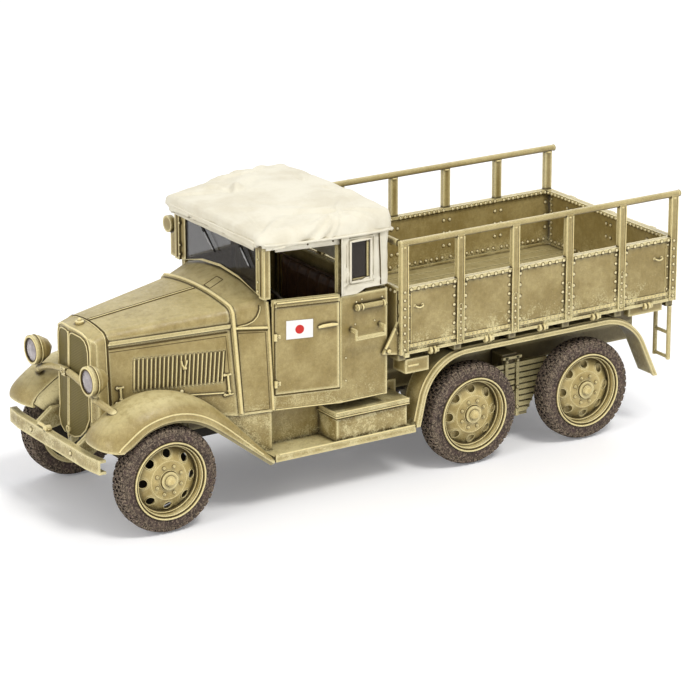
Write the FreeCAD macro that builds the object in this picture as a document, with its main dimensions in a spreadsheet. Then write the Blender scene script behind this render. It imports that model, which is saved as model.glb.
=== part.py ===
import FreeCAD, Part
import math
import os
from types import SimpleNamespace

import Sketcher

# Six-wheeled army cargo truck, a scale model at 1:30, in millimetres.
# +X points forward, +Y to the vehicle's left, +Z up. The origin is on the ground,
# below the middle of the bounding box.

# Driving lengths
LENGTHS = {
    # wheels and tyres
    "tyre_radius": 13.7,
    "tyre_half_width": 3.05,
    "tread_half_width": 2.1,
    "shoulder_drop": 0.35,
    "wall_rise": 1.9,
    "bead_radius": 9.6,
    "bead_half_width": 2.3,
    "flange_radius": 10.0,
    "flange_width": 0.5,
    "flange_gap": 0.1,
    "rim_gap": 0.05,
    "rim_wall": 0.7,
    "disc_face": 2.1,
    "disc_wall": 0.6,
    "disc_cone": 1.8,
    "disc_edge": 0.4,
    "plateau_radius": 5.0,
    "hole_circle": 6.8,
    "hole_radius": 1.2,
    "boss_radius": 2.3,
    "boss_rise": 0.7,
    "cap_radius": 1.2,
    "cap_rise": 0.8,
    "hub_radius": 2.4,
    "hub_depth": 2.0,
    "spindle_radius": 1.2,
    "running_gap": 0.05,
    "end_gap": 0.3,
    "wheel_middle": 24.4,
    "front_axle_x": 68.7,
    "middle_axle_x": -21.7,
    "rear_axle_x": -57.9,
    # axles and springs
    "drum_radius": 8.2,
    "drum_width": 2.0,
    "beam_width": 2.4,
    "beam_height": 2.6,
    "knuckle_radius": 1.5,
    "knuckle_height": 6.0,
    "tie_rod_radius": 0.5,
    "tie_rod_setback": 2.9,
    "rear_tube_radius": 1.7,
    "casing_radius": 4.4,
    "leaf_width": 2.2,
    "leaf_thickness": 0.8,
    "spring_reach": 9.6,
    "bogie_spring_y": 16.2,
    "bogie_leaf_step": 1.6,
    "bogie_leaf_reach": 13.0,
    "bogie_leaf_taper": 0.9,
    "shaft_radius": 1.0,
    "screw_radius": 0.75,
    # frame
    "rail_half_spacing": 12.0,
    "rail_flange": 2.2,
    "rail_wall": 0.7,
    "rail_bottom": 19.5,
    "rail_top": 24.3,
    "rail_front_x": 78.4,
    "rail_rear_x": -84.2,
    "member_width": 3.0,
    "sump_bottom": 15.2,
    "engine_top": 34.0,
    "engine_half_width": 5.5,
    "gearbox_half_width": 3.6,
    "exhaust_radius": 0.8,
    "muffler_radius": 2.1,
    # bumper
    "nose_x": 87.2,
    "bumper_half_width": 23.7,
    "bumper_straight": 18.0,
    "bumper_sweep": 0.8,
    "bumper_depth": 1.9,
    "bumper_wall": 0.7,
    "bumper_bottom": 17.6,
    "bumper_top": 21.3,
    "iron_width": 1.6,
    # radiator
    "joint_x": 76.0,
    "prow_x": 81.2,
    "prow_lean": 0.7,
    "prow_rake": 1.3,
    "radiator_half_width": 8.5,
    "radiator_flare": 1.0,
    "radiator_shoulder": 46.2,
    "radiator_crown": 48.0,
    "radiator_corner": 2.0,
    "mesh_bottom": 22.4,
    "mesh_top": 44.6,
    "mesh_half_width": 7.0,
    "mesh_recess": 0.5,
    "mesh_thickness": 0.8,
    "centre_bar": 0.9,
    "tongue_bottom": 17.6,
    # hood and cowl
    "hood_front_half": 9.9,
    "hood_front_low_half": 11.2,
    "hood_front_low": 28.4,
    "hood_front_shoulder": 48.3,
    "hood_front_crown": 49.1,
    "hood_rear_half": 17.3,
    "cowl_step": 1.7,
    "hood_rear_shoulder": 51.2,
    "hood_rear_crown": 52.4,
    "belt_front": 45.1,
    "belt_rear": 46.4,
    "belt_rise": 0.5,
    "belt_height": 1.0,
    "hood_corner": 2.6,
    "hood_wall": 0.8,
    "louvre_rise": 0.3,
    "bead_rise": 0.5,
    "bead_width": 1.2,
    "cowl_x": 45.3,
    "screen_x": 37.4,
    "screen_base_edge": 53.4,
    "screen_base_crown": 56.5,
    "screen_thickness": 0.9,
    "glass_thickness": 0.4,
    "glass_margin": 2.3,
    "pillar_step": 2.8,
    "screen_head_drop": 0.4,
    "glass_head_drop": 2.0,
    "screen_sill": 0.8,
    "pillar_width": 2.2,
    "pillar_depth": 2.0,
    # cab
    "door_front_x": 36.0,
    "door_taper": 3.9,
    "door_rear_x": 18.9,
    "cab_half_width": 26.5,
    "cab_rear_x": 4.8,
    "cab_bottom": 24.3,
    "door_bottom": 28.4,
    "door_top": 52.5,
    "panel_wall": 1.0,
    "shut_gap": 0.15,
    "sill_rise": 0.5,
    "sill_height": 1.2,
    "quarter_rise": 0.7,
    "post_width": 1.3,
    "floor_wall": 1.0,
    "seat_box_top": 33.0,
    "seat_front_x": 20.0,
    "seat_margin": 6.5,
    "cushion_height": 4.2,
    "backrest_thickness": 3.0,
    "backrest_top": 51.0,
    "soft_corner": 1.2,
    "soft_gap": 0.3,
    "wheel_x": 27.5,
    "wheel_y": 11.0,
    "wheel_z": 47.5,
    "steering_radius": 6.2,
    "steering_tube": 0.45,
    "column_radius": 0.6,
    "clamp_front_x": 14.7,
    "clamp_rear_x": 5.7,
    "clamp_radius": 0.75,
    "clamp_z": 48.9,
    "loop_front_x": 16.0,
    "loop_rear_x": 7.0,
    "loop_low": 41.0,
    "loop_high": 43.8,
    "loop_reach": 2.9,
    "loop_wall": 0.5,
    "dash_bottom": 47.0,
    "dash_depth": 1.6,
    # canvas roof
    "roof_front_x": 40.2,
    "roof_front_overhang": 1.0,
    "roof_overhang": 0.5,
    "window_height": 15.1,
    "roof_bow_x": 16.5,
    "roof_front_rise": 2.8,
    "roof_front_camber": 0.6,
    "roof_rise": 5.3,
    "roof_camber": 0.7,
    "roof_corner": 2.2,
    "canvas_wall": 0.9,
    "pane_front_x": 15.8,
    "pane_rear_x": 10.2,
    "pane_sill": 3.7,
    "pane_head": 1.6,
    "back_pane_half": 8.0,
    "valance_drop": 2.1,
    "side_valance_drop": 1.3,
    # lamps
    "lamp_x": 84.4,
    "lamp_y": 14.75,
    "lamp_z": 38.7,
    "lamp_radius": 3.8,
    "lamp_depth": 5.6,
    "lens_radius": 3.1,
    "lens_bulge": 0.7,
    "bar_radius": 0.9,
    "bar_crown": 37.0,
    "bar_side": 33.6,
    "bar_foot_y": 19.2,
    "bar_foot_x": 81.6,
    "bar_foot_z": 34.0,
    "disc_lamp_reach": 2.6,
    "disc_lamp_z": 61.9,
    "disc_lamp_radius": 2.2,
    "disc_lamp_depth": 1.4,
    # fenders and boards
    "fender_step": 0.5,
    "fender_inner": 14.0,
    "fender_wall": 0.8,
    "apron_bottom": 20.0,
    "apron_front_x": 83.4,
    "board_step": 0.4,
    "board_inner": 18.0,
    "board_bottom": 12.6,
    "board_top": 13.9,
    "board_front_x": 38.6,
    "board_rear_x": -3.4,
    "board_lip": 0.6,
    "splash_wall": 0.8,
    "splash_front_x": 34.6,
    "toolbox_front_x": 19.9,
    "toolbox_rear_x": -1.2,
    "toolbox_step": 1.0,
    "toolbox_top": 21.9,
    "toolbox_lid": 1.0,
    "lid_overhang": 0.5,
    "rear_fender_top": 32.3,
    "rear_fender_inner": 20.6,
    "rear_fender_front_x": -3.3,
    "rear_fender_rear_x": -80.8,
    "rear_fender_tip": 13.9,
    "rear_fender_bend": 14.5,
    "rear_fender_lip": 1.2,
    # cargo bed
    "bed_front_x": 2.2,
    "bed_rear_x": -85.4,
    "bed_overhang": 2.0,
    "bed_wall": 0.8,
    "bed_bottom": 34.5,
    "bed_top": 52.1,
    "bed_floor_low": 35.3,
    "bed_floor_high": 36.3,
    "bed_flange": 1.3,
    "post_span": 2.2,
    "post_rise": 0.5,
    "rail_z": 63.7,
    "bed_rail_radius": 0.85,
    "bearer_low": 32.7,
    "bearer_width": 2.2,
    "sill_width": 2.4,
    "lug_radius": 0.6,
    "lug_reach": 1.0,
    "locker_front_x": 2.2,
    "locker_rear_x": -7.1,
    "locker_low": 28.9,
    "locker_depth": 6.5,
    "gusset_reach": 4.6,
    "gusset_height": 8.6,
    "bracket_front_x": -70.8,
    "bracket_rear_x": -81.9,
    "ladder_width": 5.8,
    "ladder_step": 1.0,
    "ladder_bottom": 17.6,
    "ladder_radius": 0.6,
    "rung_rise": 6.8,
    "ladder_x": -84.6,
    # one overrun for every cut
    "overrun": 5.0,
}

COLUMN_SLOPE_SHARE = 0.62
HOLE_COUNT = 8
BAY_COUNT = 5


# Sizes that bind themselves
class Size:
    """A length of the truck: its number, and the expression that ties it to the sheet."""

    def __init__(self, number, text):
        self.number = number
        self.text = text

    def __float__(self):
        return float(self.number)

    def __add__(self, other):
        return combine(self, "+", other, float(self) + float(other))

    def __radd__(self, other):
        return combine(other, "+", self, float(other) + float(self))

    def __sub__(self, other):
        return combine(self, "-", other, float(self) - float(other))

    def __rsub__(self, other):
        return combine(other, "-", self, float(other) - float(self))

    def __mul__(self, other):
        return combine(self, "*", other, float(self) * float(other))

    __rmul__ = __mul__

    def __truediv__(self, other):
        return combine(self, "/", other, float(self) / float(other))

    def __neg__(self):
        return Size(-float(self), "(0 - %s)" % self.text)


def words(value):
    return value.text if isinstance(value, Size) else repr(float(value))


def combine(first, sign, second, number):
    return Size(number, "(%s %s %s)" % (words(first), sign, words(second)))


doc = FreeCAD.newDocument("CargoTruck")
sheet = doc.addObject("Spreadsheet::Sheet", "Sizes")
for row, (alias, length) in enumerate(LENGTHS.items(), start=1):
    sheet.set("A%d" % row, alias)
    sheet.set("B%d" % row, str(length))
    sheet.setAlias("B%d" % row, alias)
doc.recompute()
S = SimpleNamespace(**{alias: Size(length, "Sizes." + alias) for alias, length in LENGTHS.items()})

# Half widths that follow from the cab's
S.door_front_half = S.cab_half_width - S.door_taper
S.hood_rear_low_half = S.door_front_half - S.cowl_step
S.screen_half_width = S.door_front_half - S.pillar_step
S.glass_half_width = S.screen_half_width - S.glass_margin
S.seat_half_width = S.cab_half_width - S.seat_margin
S.disc_lamp_y = S.door_front_half + S.disc_lamp_reach
S.roof_half_width = S.cab_half_width + S.roof_overhang
S.roof_front_half = S.door_front_half + S.roof_front_overhang
S.bed_half_width = S.cab_half_width + S.bed_overhang
S.fender_outer = S.bed_half_width - S.fender_step
S.board_outer = S.fender_outer - S.board_step
S.toolbox_outer = S.fender_outer - S.toolbox_step
S.ladder_outer_y = S.bed_half_width - S.ladder_step
S.ladder_inner_y = S.ladder_outer_y - S.ladder_width
S.locker_inner = S.bed_half_width - S.locker_depth
# Heights that follow from the door's
S.quarter_low = S.door_top
S.quarter_top = S.door_top + S.quarter_rise
S.roof_low = S.door_top + S.window_height
S.roof_shoulder = S.roof_low + S.roof_rise
S.roof_crown = S.roof_shoulder + S.roof_camber
S.roof_front_shoulder = S.roof_low + S.roof_front_rise
S.roof_front_crown = S.roof_front_shoulder + S.roof_front_camber
S.screen_top = S.roof_low - S.screen_head_drop
S.glass_top = S.roof_low - S.glass_head_drop
S.pane_low = S.quarter_low + S.pane_sill
S.pane_high = S.roof_low - S.pane_head
S.valance_low = S.roof_low - S.valance_drop
S.side_valance_low = S.roof_low - S.side_valance_drop

SUBPARTS = []
AXES = {"X": FreeCAD.Vector(1, 0, 0), "Y": FreeCAD.Vector(0, 1, 0), "Z": FreeCAD.Vector(0, 0, 1)}
UPRIGHT = {
    "X": FreeCAD.Rotation(AXES["Y"], 90),
    "Y": FreeCAD.Rotation(AXES["X"], -90),
    "Z": FreeCAD.Rotation(),
}


def at(x, y, z):
    return FreeCAD.Vector(float(x), float(y), float(z))


def keep(piece, label):
    """Marks a piece as a sub-part under its own name."""
    piece.Label = label
    SUBPARTS.append(piece)
    return piece


def bind(piece, name, value):
    piece.setExpression(name, words(value))


def place(piece, x, y, z, turn=FreeCAD.Rotation()):
    piece.Placement = FreeCAD.Placement(at(x, y, z), turn)
    bind(piece, "Placement.Base.x", x)
    bind(piece, "Placement.Base.y", y)
    bind(piece, "Placement.Base.z", z)
    return piece


def box(name, x, y, z):
    """A box between a low and a high place along each axis."""
    piece = doc.addObject("Part::Box", name)
    bind(piece, "Length", x[1] - x[0])
    bind(piece, "Width", y[1] - y[0])
    bind(piece, "Height", z[1] - z[0])
    return place(piece, x[0], y[0], z[0])


def rod(name, axis, x, y, z, radius, length):
    """A cylinder that starts at a point and runs along an axis."""
    piece = doc.addObject("Part::Cylinder", name)
    bind(piece, "Radius", radius)
    bind(piece, "Height", length)
    return place(piece, x, y, z, UPRIGHT[axis])


def ball(name, x, y, z, radius):
    piece = doc.addObject("Part::Sphere", name)
    bind(piece, "Radius", radius)
    return place(piece, x, y, z)


def joined(name, pieces):
    piece = doc.addObject("Part::MultiFuse", name)
    piece.Shapes = pieces
    return piece


def gathered(name, pieces):
    """Several solids that don't touch, as one sub-part."""
    piece = doc.addObject("Part::Compound", name)
    piece.Links = pieces
    return piece


def cut(name, base, tools):
    piece = doc.addObject("Part::Cut", name)
    piece.Base = base
    piece.Tool = tools[0] if len(tools) == 1 else joined(name + "_tools", tools)
    return piece


def common(name, first, second):
    piece = doc.addObject("Part::Common", name)
    piece.Base = first
    piece.Tool = second
    return piece


def mirrored(name, piece):
    twin = doc.addObject("Part::Mirroring", name)
    twin.Source = piece
    twin.Normal = AXES["Y"]
    return twin


def pair(label, piece):
    """A left piece and its mirror image on the right, as one sub-part."""
    return keep(gathered(label, [piece, mirrored(label + "_twin", piece)]), label)


def feature(name, shape):
    """A curved piece whose shape is worked out from the sheet's values."""
    piece = doc.addObject("Part::Feature", name)
    piece.Shape = shape
    piece.Placement = FreeCAD.Placement()
    return piece


def hold(sketch, kind, index, value, axis):
    """Ties one coordinate of an outline's point to the sheet."""
    if not isinstance(value, Size):
        sketch.addConstraint(Sketcher.Constraint("PointOnObject", index, 1, axis))
        return
    number = sketch.addConstraint(Sketcher.Constraint(kind, -1, 1, index, 1, float(value)))
    sketch.setExpression("Constraints[%d]" % number, value.text)


def draw(body, name, plane, outline):
    """A closed outline of straight sides on one of the body's own planes."""
    sketch = body.newObject("Sketcher::SketchObject", name)
    home = [item for item in body.Origin.OriginFeatures if item.Role == plane + "_Plane"][0]
    sketch.AttachmentSupport = [(home, "")]
    sketch.MapMode = "FlatFace"
    count = len(outline)
    for index, start in enumerate(outline):
        end = outline[(index + 1) % count]
        sketch.addGeometry(Part.LineSegment(at(start[0], start[1], 0), at(end[0], end[1], 0)))
    for index in range(count):
        sketch.addConstraint(Sketcher.Constraint("Coincident", index, 2, (index + 1) % count, 1))
    for index, (across, up) in enumerate(outline):
        hold(sketch, "DistanceX", index, across, -2)
        hold(sketch, "DistanceY", index, up, -1)
    return sketch


def prism(name, plane, outline, low, high):
    """An outline on a plane, drawn out from low to high along the plane's normal."""
    body = doc.addObject("PartDesign::Body", name)
    sketch = draw(body, name + "_outline", plane, outline)
    start = -high if plane == "XZ" else low
    sketch.AttachmentOffset = FreeCAD.Placement(at(0, 0, start), FreeCAD.Rotation())
    bind(sketch, "AttachmentOffset.Base.z", start)
    pad = body.newObject("PartDesign::Pad", name + "_pad")
    pad.Profile = sketch
    bind(pad, "Length", high - low)
    sketch.Visibility = False
    return body


def turned(name, plane, axis, outline):
    """An outline turned about the vertical or the level axis of its sketch."""
    body = doc.addObject("PartDesign::Body", name)
    sketch = draw(body, name + "_outline", plane, outline)
    spin = body.newObject("PartDesign::Revolution", name + "_turn")
    spin.Profile = sketch
    spin.ReferenceAxis = (sketch, [axis])
    spin.Angle = 360
    return body


def closed(points):
    return Part.makePolygon(points + [points[0]])


def loft(sections, ruled=True):
    return Part.makeLoft(sections, True, ruled)


# Arched sections, shared by the hood, the cowl and the canvas roof
def arch_edges(x, low, half, crown, corner, inset):
    """Edges from the right foot over the crown to the left foot, drawn inwards by an inset.

    low and half are (half width, height) of the foot and of the shoulder.
    """
    foot_half = float(low[0]) - inset
    foot_z = float(low[1])
    side = float(half[0]) - inset
    shoulder = float(half[1]) - inset
    top = float(crown) - inset
    radius = float(corner) - inset
    bulge = radius * (1 - math.sqrt(0.5))

    def arch_point(y, z):
        return FreeCAD.Vector(float(x), y, z)

    edges = []
    edges.append(Part.LineSegment(arch_point(-foot_half, foot_z), arch_point(-side, shoulder - radius)))
    edges.append(Part.Arc(
        arch_point(-side, shoulder - radius),
        arch_point(-side + bulge, shoulder - bulge),
        arch_point(-side + radius, shoulder),
    ))
    edges.append(Part.Arc(
        arch_point(-side + radius, shoulder), arch_point(0, top), arch_point(side - radius, shoulder)
    ))
    edges.append(Part.Arc(
        arch_point(side - radius, shoulder),
        arch_point(side - bulge, shoulder - bulge),
        arch_point(side, shoulder - radius),
    ))
    edges.append(Part.LineSegment(arch_point(side, shoulder - radius), arch_point(foot_half, foot_z)))
    return [edge.toShape() for edge in edges]


def arch_outline(x, low, half, crown, corner, inset=0.0):
    """The whole area under an arch."""
    edges = arch_edges(x, low, half, crown, corner, inset)
    first = edges[0].Vertexes[0].Point
    last = edges[-1].Vertexes[-1].Point
    return Part.Wire(edges + [Part.LineSegment(last, first).toShape()])


def arch_shell(sections, wall):
    """A thin arch through several sections, open at its feet and at both ends."""
    outer = loft([arch_outline(*section) for section in sections])
    inner = loft([arch_outline(*section, inset=float(wall)) for section in sections])
    return outer.cut(inner)


# Wheels
wheel_stations = {
    "front": S.front_axle_x,
    "middle": S.middle_axle_x,
    "rear": S.rear_axle_x,
}


def tyre_outline():
    """Half section of a tyre: distance from the axle, then place along it."""
    side = [
        (S.bead_radius, S.bead_half_width),
        (S.flange_radius + S.flange_gap, S.bead_half_width),
        (S.flange_radius + S.flange_gap, S.tyre_half_width - S.flange_gap),
        (S.bead_radius + S.wall_rise, S.tyre_half_width),
        (S.tyre_radius - S.shoulder_drop, S.tread_half_width + S.shoulder_drop),
        (S.tyre_radius, S.tread_half_width - S.shoulder_drop),
    ]
    return side + [(radius, -place_along) for radius, place_along in reversed(side)]


def disc_outline():
    """Half section of a pressed disc wheel with its rim, hub and cap. The disc is a shallow cone."""
    rim = S.bead_radius - S.rim_gap
    inner = rim - S.rim_wall
    lip = S.bead_half_width + S.flange_gap
    lip_face = lip + S.flange_width
    back = S.disc_face - S.disc_wall
    bore = S.spindle_radius + S.running_gap
    boss = S.disc_face + S.boss_rise
    root = S.disc_face - S.disc_cone
    return [
        (bore, -S.hub_depth),
        (S.hub_radius, -S.hub_depth),
        (S.hub_radius, back),
        (S.plateau_radius, back),
        (inner - S.disc_edge, root - S.disc_wall),
        (inner, root - S.disc_wall),
        (inner, -lip_face),
        (S.flange_radius, -lip_face),
        (S.flange_radius, -lip),
        (rim, -lip),
        (rim, lip),
        (S.flange_radius, lip),
        (S.flange_radius, lip_face),
        (S.flange_radius - S.flange_width, lip_face),
        (inner + S.flange_gap, lip_face - S.flange_width),
        (inner, root + S.disc_edge),
        (inner, root),
        (inner - S.disc_edge, root),
        (S.plateau_radius, S.disc_face),
        (S.boss_radius, S.disc_face),
        (S.boss_radius, boss),
        (S.cap_radius, boss),
        (S.cap_radius, boss + S.cap_rise),
        (0, boss + S.cap_rise),
        (0, S.disc_face),
        (bore, S.disc_face),
    ]


def pierced(body, name):
    """The ring of round holes through a wheel's disc."""
    sketch = body.newObject("Sketcher::SketchObject", name + "_hole")
    home = [item for item in body.Origin.OriginFeatures if item.Role == "XZ_Plane"][0]
    sketch.AttachmentSupport = [(home, "")]
    sketch.MapMode = "FlatFace"
    sketch.addGeometry(Part.Circle(at(S.hole_circle, 0, 0), FreeCAD.Vector(0, 0, 1), float(S.hole_radius)))
    sketch.addConstraint(Sketcher.Constraint("PointOnObject", 0, 3, -1))
    across = sketch.addConstraint(Sketcher.Constraint("DistanceX", -1, 1, 0, 3, float(S.hole_circle)))
    sketch.setExpression("Constraints[%d]" % across, S.hole_circle.text)
    size = sketch.addConstraint(Sketcher.Constraint("Radius", 0, float(S.hole_radius)))
    sketch.setExpression("Constraints[%d]" % size, S.hole_radius.text)
    pocket = body.newObject("PartDesign::Pocket", name + "_pocket")
    pocket.Profile = sketch
    pocket.Type = "ThroughAll"
    pocket.Midplane = True
    ring = body.newObject("PartDesign::PolarPattern", name + "_ring")
    ring.Originals = [pocket]
    ring.Axis = ([item for item in body.Origin.OriginFeatures if item.Role == "Y_Axis"][0], [""])
    ring.Angle = 360
    ring.Occurrences = HOLE_COUNT
    body.Tip = ring


def wheel(station, side, x):
    """One tyre and its disc wheel, outer faces away from the truck."""
    turn = FreeCAD.Rotation() if side == "left" else FreeCAD.Rotation(AXES["Z"], 180)
    y = S.wheel_middle if side == "left" else -S.wheel_middle
    name = "%s_%s" % (station, side)
    tyre = turned("tyre_" + name, "XY", "V_Axis", tyre_outline())
    disc = turned("wheel_" + name, "XY", "V_Axis", disc_outline())
    pierced(disc, "wheel_" + name)
    for piece in (tyre, disc):
        place(piece, x, y, S.tyre_radius, turn)
        keep(piece, piece.Name)


for station, x in wheel_stations.items():
    wheel(station, "left", x)
    wheel(station, "right", x)


# Axles
spindle_end = S.wheel_middle + S.disc_face - S.end_gap
drum_outer = S.wheel_middle - S.hub_depth - S.end_gap
drum_inner = drum_outer - S.drum_width


def stub(name, x):
    """Brake drum and stub axle of one wheel, on the left."""
    drum = rod(name + "_drum", "Y", x, drum_inner, S.tyre_radius, S.drum_radius, S.drum_width)
    spindle = rod(name + "_spindle", "Y", x, drum_inner, S.tyre_radius, S.spindle_radius, spindle_end - drum_inner)
    return joined(name, [drum, spindle])


def both(name, piece):
    return [piece, mirrored(name + "_twin", piece)]


def front_axle():
    """I-beam axle with a kingpin boss, a drum and a stub at each end."""
    half = S.beam_width / 2
    top = S.tyre_radius + S.beam_height / 2
    beam = box(
        "axle_beam",
        (S.front_axle_x - half, S.front_axle_x + half),
        (-drum_inner, drum_inner),
        (top - S.beam_height, top),
    )
    knuckle = rod(
        "knuckle", "Z", S.front_axle_x, drum_inner - S.knuckle_radius,
        S.tyre_radius - S.knuckle_height / 2, S.knuckle_radius, S.knuckle_height,
    )
    pieces = [beam] + both("knuckle", knuckle) + both("front_stub", stub("front_stub", S.front_axle_x))
    keep(joined("front_axle", pieces), "front_axle")


def tie_rod():
    """Track rod behind the front axle, with an arm back from each knuckle."""
    knuckle_rear = S.front_axle_x - S.knuckle_radius
    x = knuckle_rear - S.tie_rod_setback
    reach = drum_inner - S.knuckle_radius
    bar = rod("track_bar", "Y", x, -reach, S.tyre_radius, S.tie_rod_radius, reach * 2)
    half = S.tie_rod_radius * ARM_HEIGHT_SHARE
    arm = box(
        "steering_arm", (x, knuckle_rear), (reach - S.tie_rod_radius, reach + S.tie_rod_radius),
        (S.tyre_radius - half, S.tyre_radius + half),
    )
    keep(joined("tie_rod", [bar] + both("steering_arm", arm)), "tie_rod")


def rear_axle(label, x):
    """Tube axle with a round casing in the middle, drums and stubs."""
    tube = rod(label + "_tube", "Y", x, -drum_inner, S.tyre_radius, S.rear_tube_radius, drum_inner * 2)
    casing = ball(label + "_casing", x, 0, S.tyre_radius, S.casing_radius)
    pieces = [tube, casing] + both(label + "_stub", stub(label + "_stub", x))
    keep(joined(label, pieces), label)


def front_springs():
    """A pack of leaves over the axle, its ends held under the frame rail."""
    y = (S.rail_half_spacing - S.leaf_width, S.rail_half_spacing)
    low = S.tyre_radius + S.beam_height / 2
    x = S.front_axle_x
    pack = low + S.leaf_thickness * 3
    eye = S.spring_reach - S.leaf_width
    outline = [
        (x - eye / 2, low),
        (x + eye / 2, low),
        (x + eye, pack),
        (x + S.spring_reach, S.rail_bottom - S.leaf_thickness),
        (x + S.spring_reach, S.rail_bottom),
        (x + eye, S.rail_bottom),
        (x + eye, pack + S.leaf_thickness),
        (x - eye, pack + S.leaf_thickness),
        (x - eye, S.rail_bottom),
        (x - S.spring_reach, S.rail_bottom),
        (x - S.spring_reach, S.rail_bottom - S.leaf_thickness),
        (x - eye, pack),
    ]
    pair("front_springs", prism("front_spring", "XZ", outline, y[0], y[1]))


def bogie_springs():
    """A stack of leaves each side, longest at the top, on a trunnion between the rear axles."""
    middle = (S.middle_axle_x + S.rear_axle_x) / 2
    y = (S.bogie_spring_y - S.leaf_width / 2, S.bogie_spring_y + S.leaf_width / 2)
    leaves = []
    for row in range(LEAF_ROWS):
        top = S.rail_bottom + S.bogie_leaf_step - S.bogie_leaf_step * row
        reach = S.bogie_leaf_reach - S.bogie_leaf_taper * row
        leaves.append(box(
            "bogie_leaf_%d" % row, (middle - reach, middle + reach), y,
            (top - S.bogie_leaf_step, top),
        ))
    seat = box(
        "bogie_seat", (middle - S.leaf_width, middle + S.leaf_width),
        (S.rail_half_spacing, y[1]), (S.rail_bottom, S.rail_top),
    )
    pair("bogie_springs", joined("bogie_spring", leaves + [seat]))


LEAF_ROWS = 9
ARM_HEIGHT_SHARE = 0.6


def drive_shafts():
    """Shaft from the gearbox to the middle axle, and on to the rear axle."""
    front = rod(
        "front_shaft", "X", S.middle_axle_x + S.casing_radius, 0, S.tyre_radius + S.shaft_radius,
        S.shaft_radius, gearbox_rear - S.middle_axle_x - S.casing_radius,
    )
    rear = rod(
        "rear_shaft", "X", S.rear_axle_x + S.casing_radius, 0, S.tyre_radius, S.shaft_radius,
        S.middle_axle_x - S.rear_axle_x - S.casing_radius * 2,
    )
    keep(gathered("drive_shafts", [front, rear]), "drive_shafts")


gearbox_rear = S.door_front_x - S.member_width
front_axle()
tie_rod()
rear_axle("middle_axle", S.middle_axle_x)
rear_axle("rear_axle", S.rear_axle_x)
front_springs()
bogie_springs()
drive_shafts()


# Frame
def frame_rails():
    """Two channels, open towards each other."""
    web = S.rail_half_spacing - S.rail_wall
    inner = S.rail_half_spacing - S.rail_flange
    whole = box(
        "rail_whole", (S.rail_rear_x, S.rail_front_x), (inner, S.rail_half_spacing),
        (S.rail_bottom, S.rail_top),
    )
    hollow = box(
        "rail_hollow", (S.rail_rear_x - S.overrun, S.rail_front_x + S.overrun), (inner - S.overrun, web),
        (S.rail_bottom + S.rail_wall, S.rail_top - S.rail_wall),
    )
    pair("frame_rails", cut("frame_rail", whole, [hollow]))


def cross_members():
    """Bars between the rails, with a screw hole for a display base in two of them."""
    web = S.rail_half_spacing - S.rail_wall
    low = S.rail_bottom + S.rail_wall
    high = S.rail_top - S.rail_wall
    middle = (S.middle_axle_x + S.rear_axle_x) / 2
    stations = {
        "nose": S.rail_front_x - S.member_width,
        "gearbox": gearbox_rear - S.member_width * 2,
        "cab": S.board_rear_x,
        "bogie": middle - S.member_width / 2,
        "tail": S.rail_rear_x,
    }
    bars = []
    for name, x in stations.items():
        bar = box("member_" + name, (x, x + S.member_width), (-web, web), (low, high))
        if name in ("nose", "tail"):
            hole = rod(
                "screw_" + name, "Z", x + S.member_width / 2, 0, low - S.overrun,
                S.screw_radius, high - low + S.overrun * 2,
            )
            bar = cut("holed_" + name, bar, [hole])
        bars.append(bar)
    keep(gathered("cross_members", bars), "cross_members")


def bumper():
    """Channel bumper, open to the rear, its ends swept back."""
    back = S.nose_x - S.bumper_depth
    side = [
        (S.nose_x, S.bumper_straight),
        (S.nose_x - S.bumper_sweep, S.bumper_half_width),
        (back - S.bumper_sweep, S.bumper_half_width),
        (back, S.bumper_straight),
    ]
    outline = [(x, -y) for x, y in reversed(side)]
    whole = prism("bumper_whole", "XY", side + outline, S.bumper_bottom, S.bumper_top)
    wall = S.bumper_wall
    groove = [
        (S.nose_x - wall, S.bumper_straight),
        (S.nose_x - wall - S.bumper_sweep, S.bumper_half_width + S.overrun),
        (back - S.overrun, S.bumper_half_width + S.overrun),
    ]
    groove = groove + [(x, -y) for x, y in reversed(groove)]
    hollow = prism("bumper_hollow", "XY", groove, S.bumper_bottom + wall, S.bumper_top - wall)
    keep(cut("bumper", whole, [hollow]), "bumper")


def bumper_irons():
    """Irons from the rail ends to the bumper."""
    back = S.nose_x - S.bumper_depth
    outline = [
        (S.rail_front_x, S.rail_bottom),
        (S.rail_front_x, S.rail_top),
        (S.rail_front_x + S.member_width, S.rail_top),
        (back, S.bumper_top),
        (back, S.bumper_bottom + S.bumper_wall),
    ]
    inner = S.rail_half_spacing - S.rail_flange
    pair("bumper_irons", prism("bumper_iron", "XZ", outline, inner, inner + S.iron_width))


def engine():
    """The engine and its gearbox as one plain block."""
    block = box(
        "engine_block", (S.cowl_x + S.member_width, S.joint_x - S.member_width),
        (-S.engine_half_width, S.engine_half_width), (S.sump_bottom + S.member_width, S.engine_top),
    )
    gearbox = box(
        "gearbox", (gearbox_rear, S.cowl_x + S.member_width),
        (-S.gearbox_half_width, S.gearbox_half_width), (S.tyre_radius, S.cab_bottom - S.end_gap),
    )
    keep(joined("engine", [block, gearbox]), "engine")


def exhaust():
    """Pipe and silencer below the right side of the cab."""
    y = -(S.rail_half_spacing + S.muffler_radius + S.rail_wall)
    z = S.rail_bottom + S.muffler_radius
    pipe = rod("exhaust_pipe", "X", S.board_rear_x, y, z, S.exhaust_radius, S.screen_x - S.board_rear_x)
    silencer = rod("silencer", "X", S.cab_rear_x, y, z, S.muffler_radius, S.door_rear_x - S.cab_rear_x)
    keep(joined("exhaust", [pipe, silencer]), "exhaust")


frame_rails()
cross_members()
bumper()
bumper_irons()
engine()
exhaust()


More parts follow.
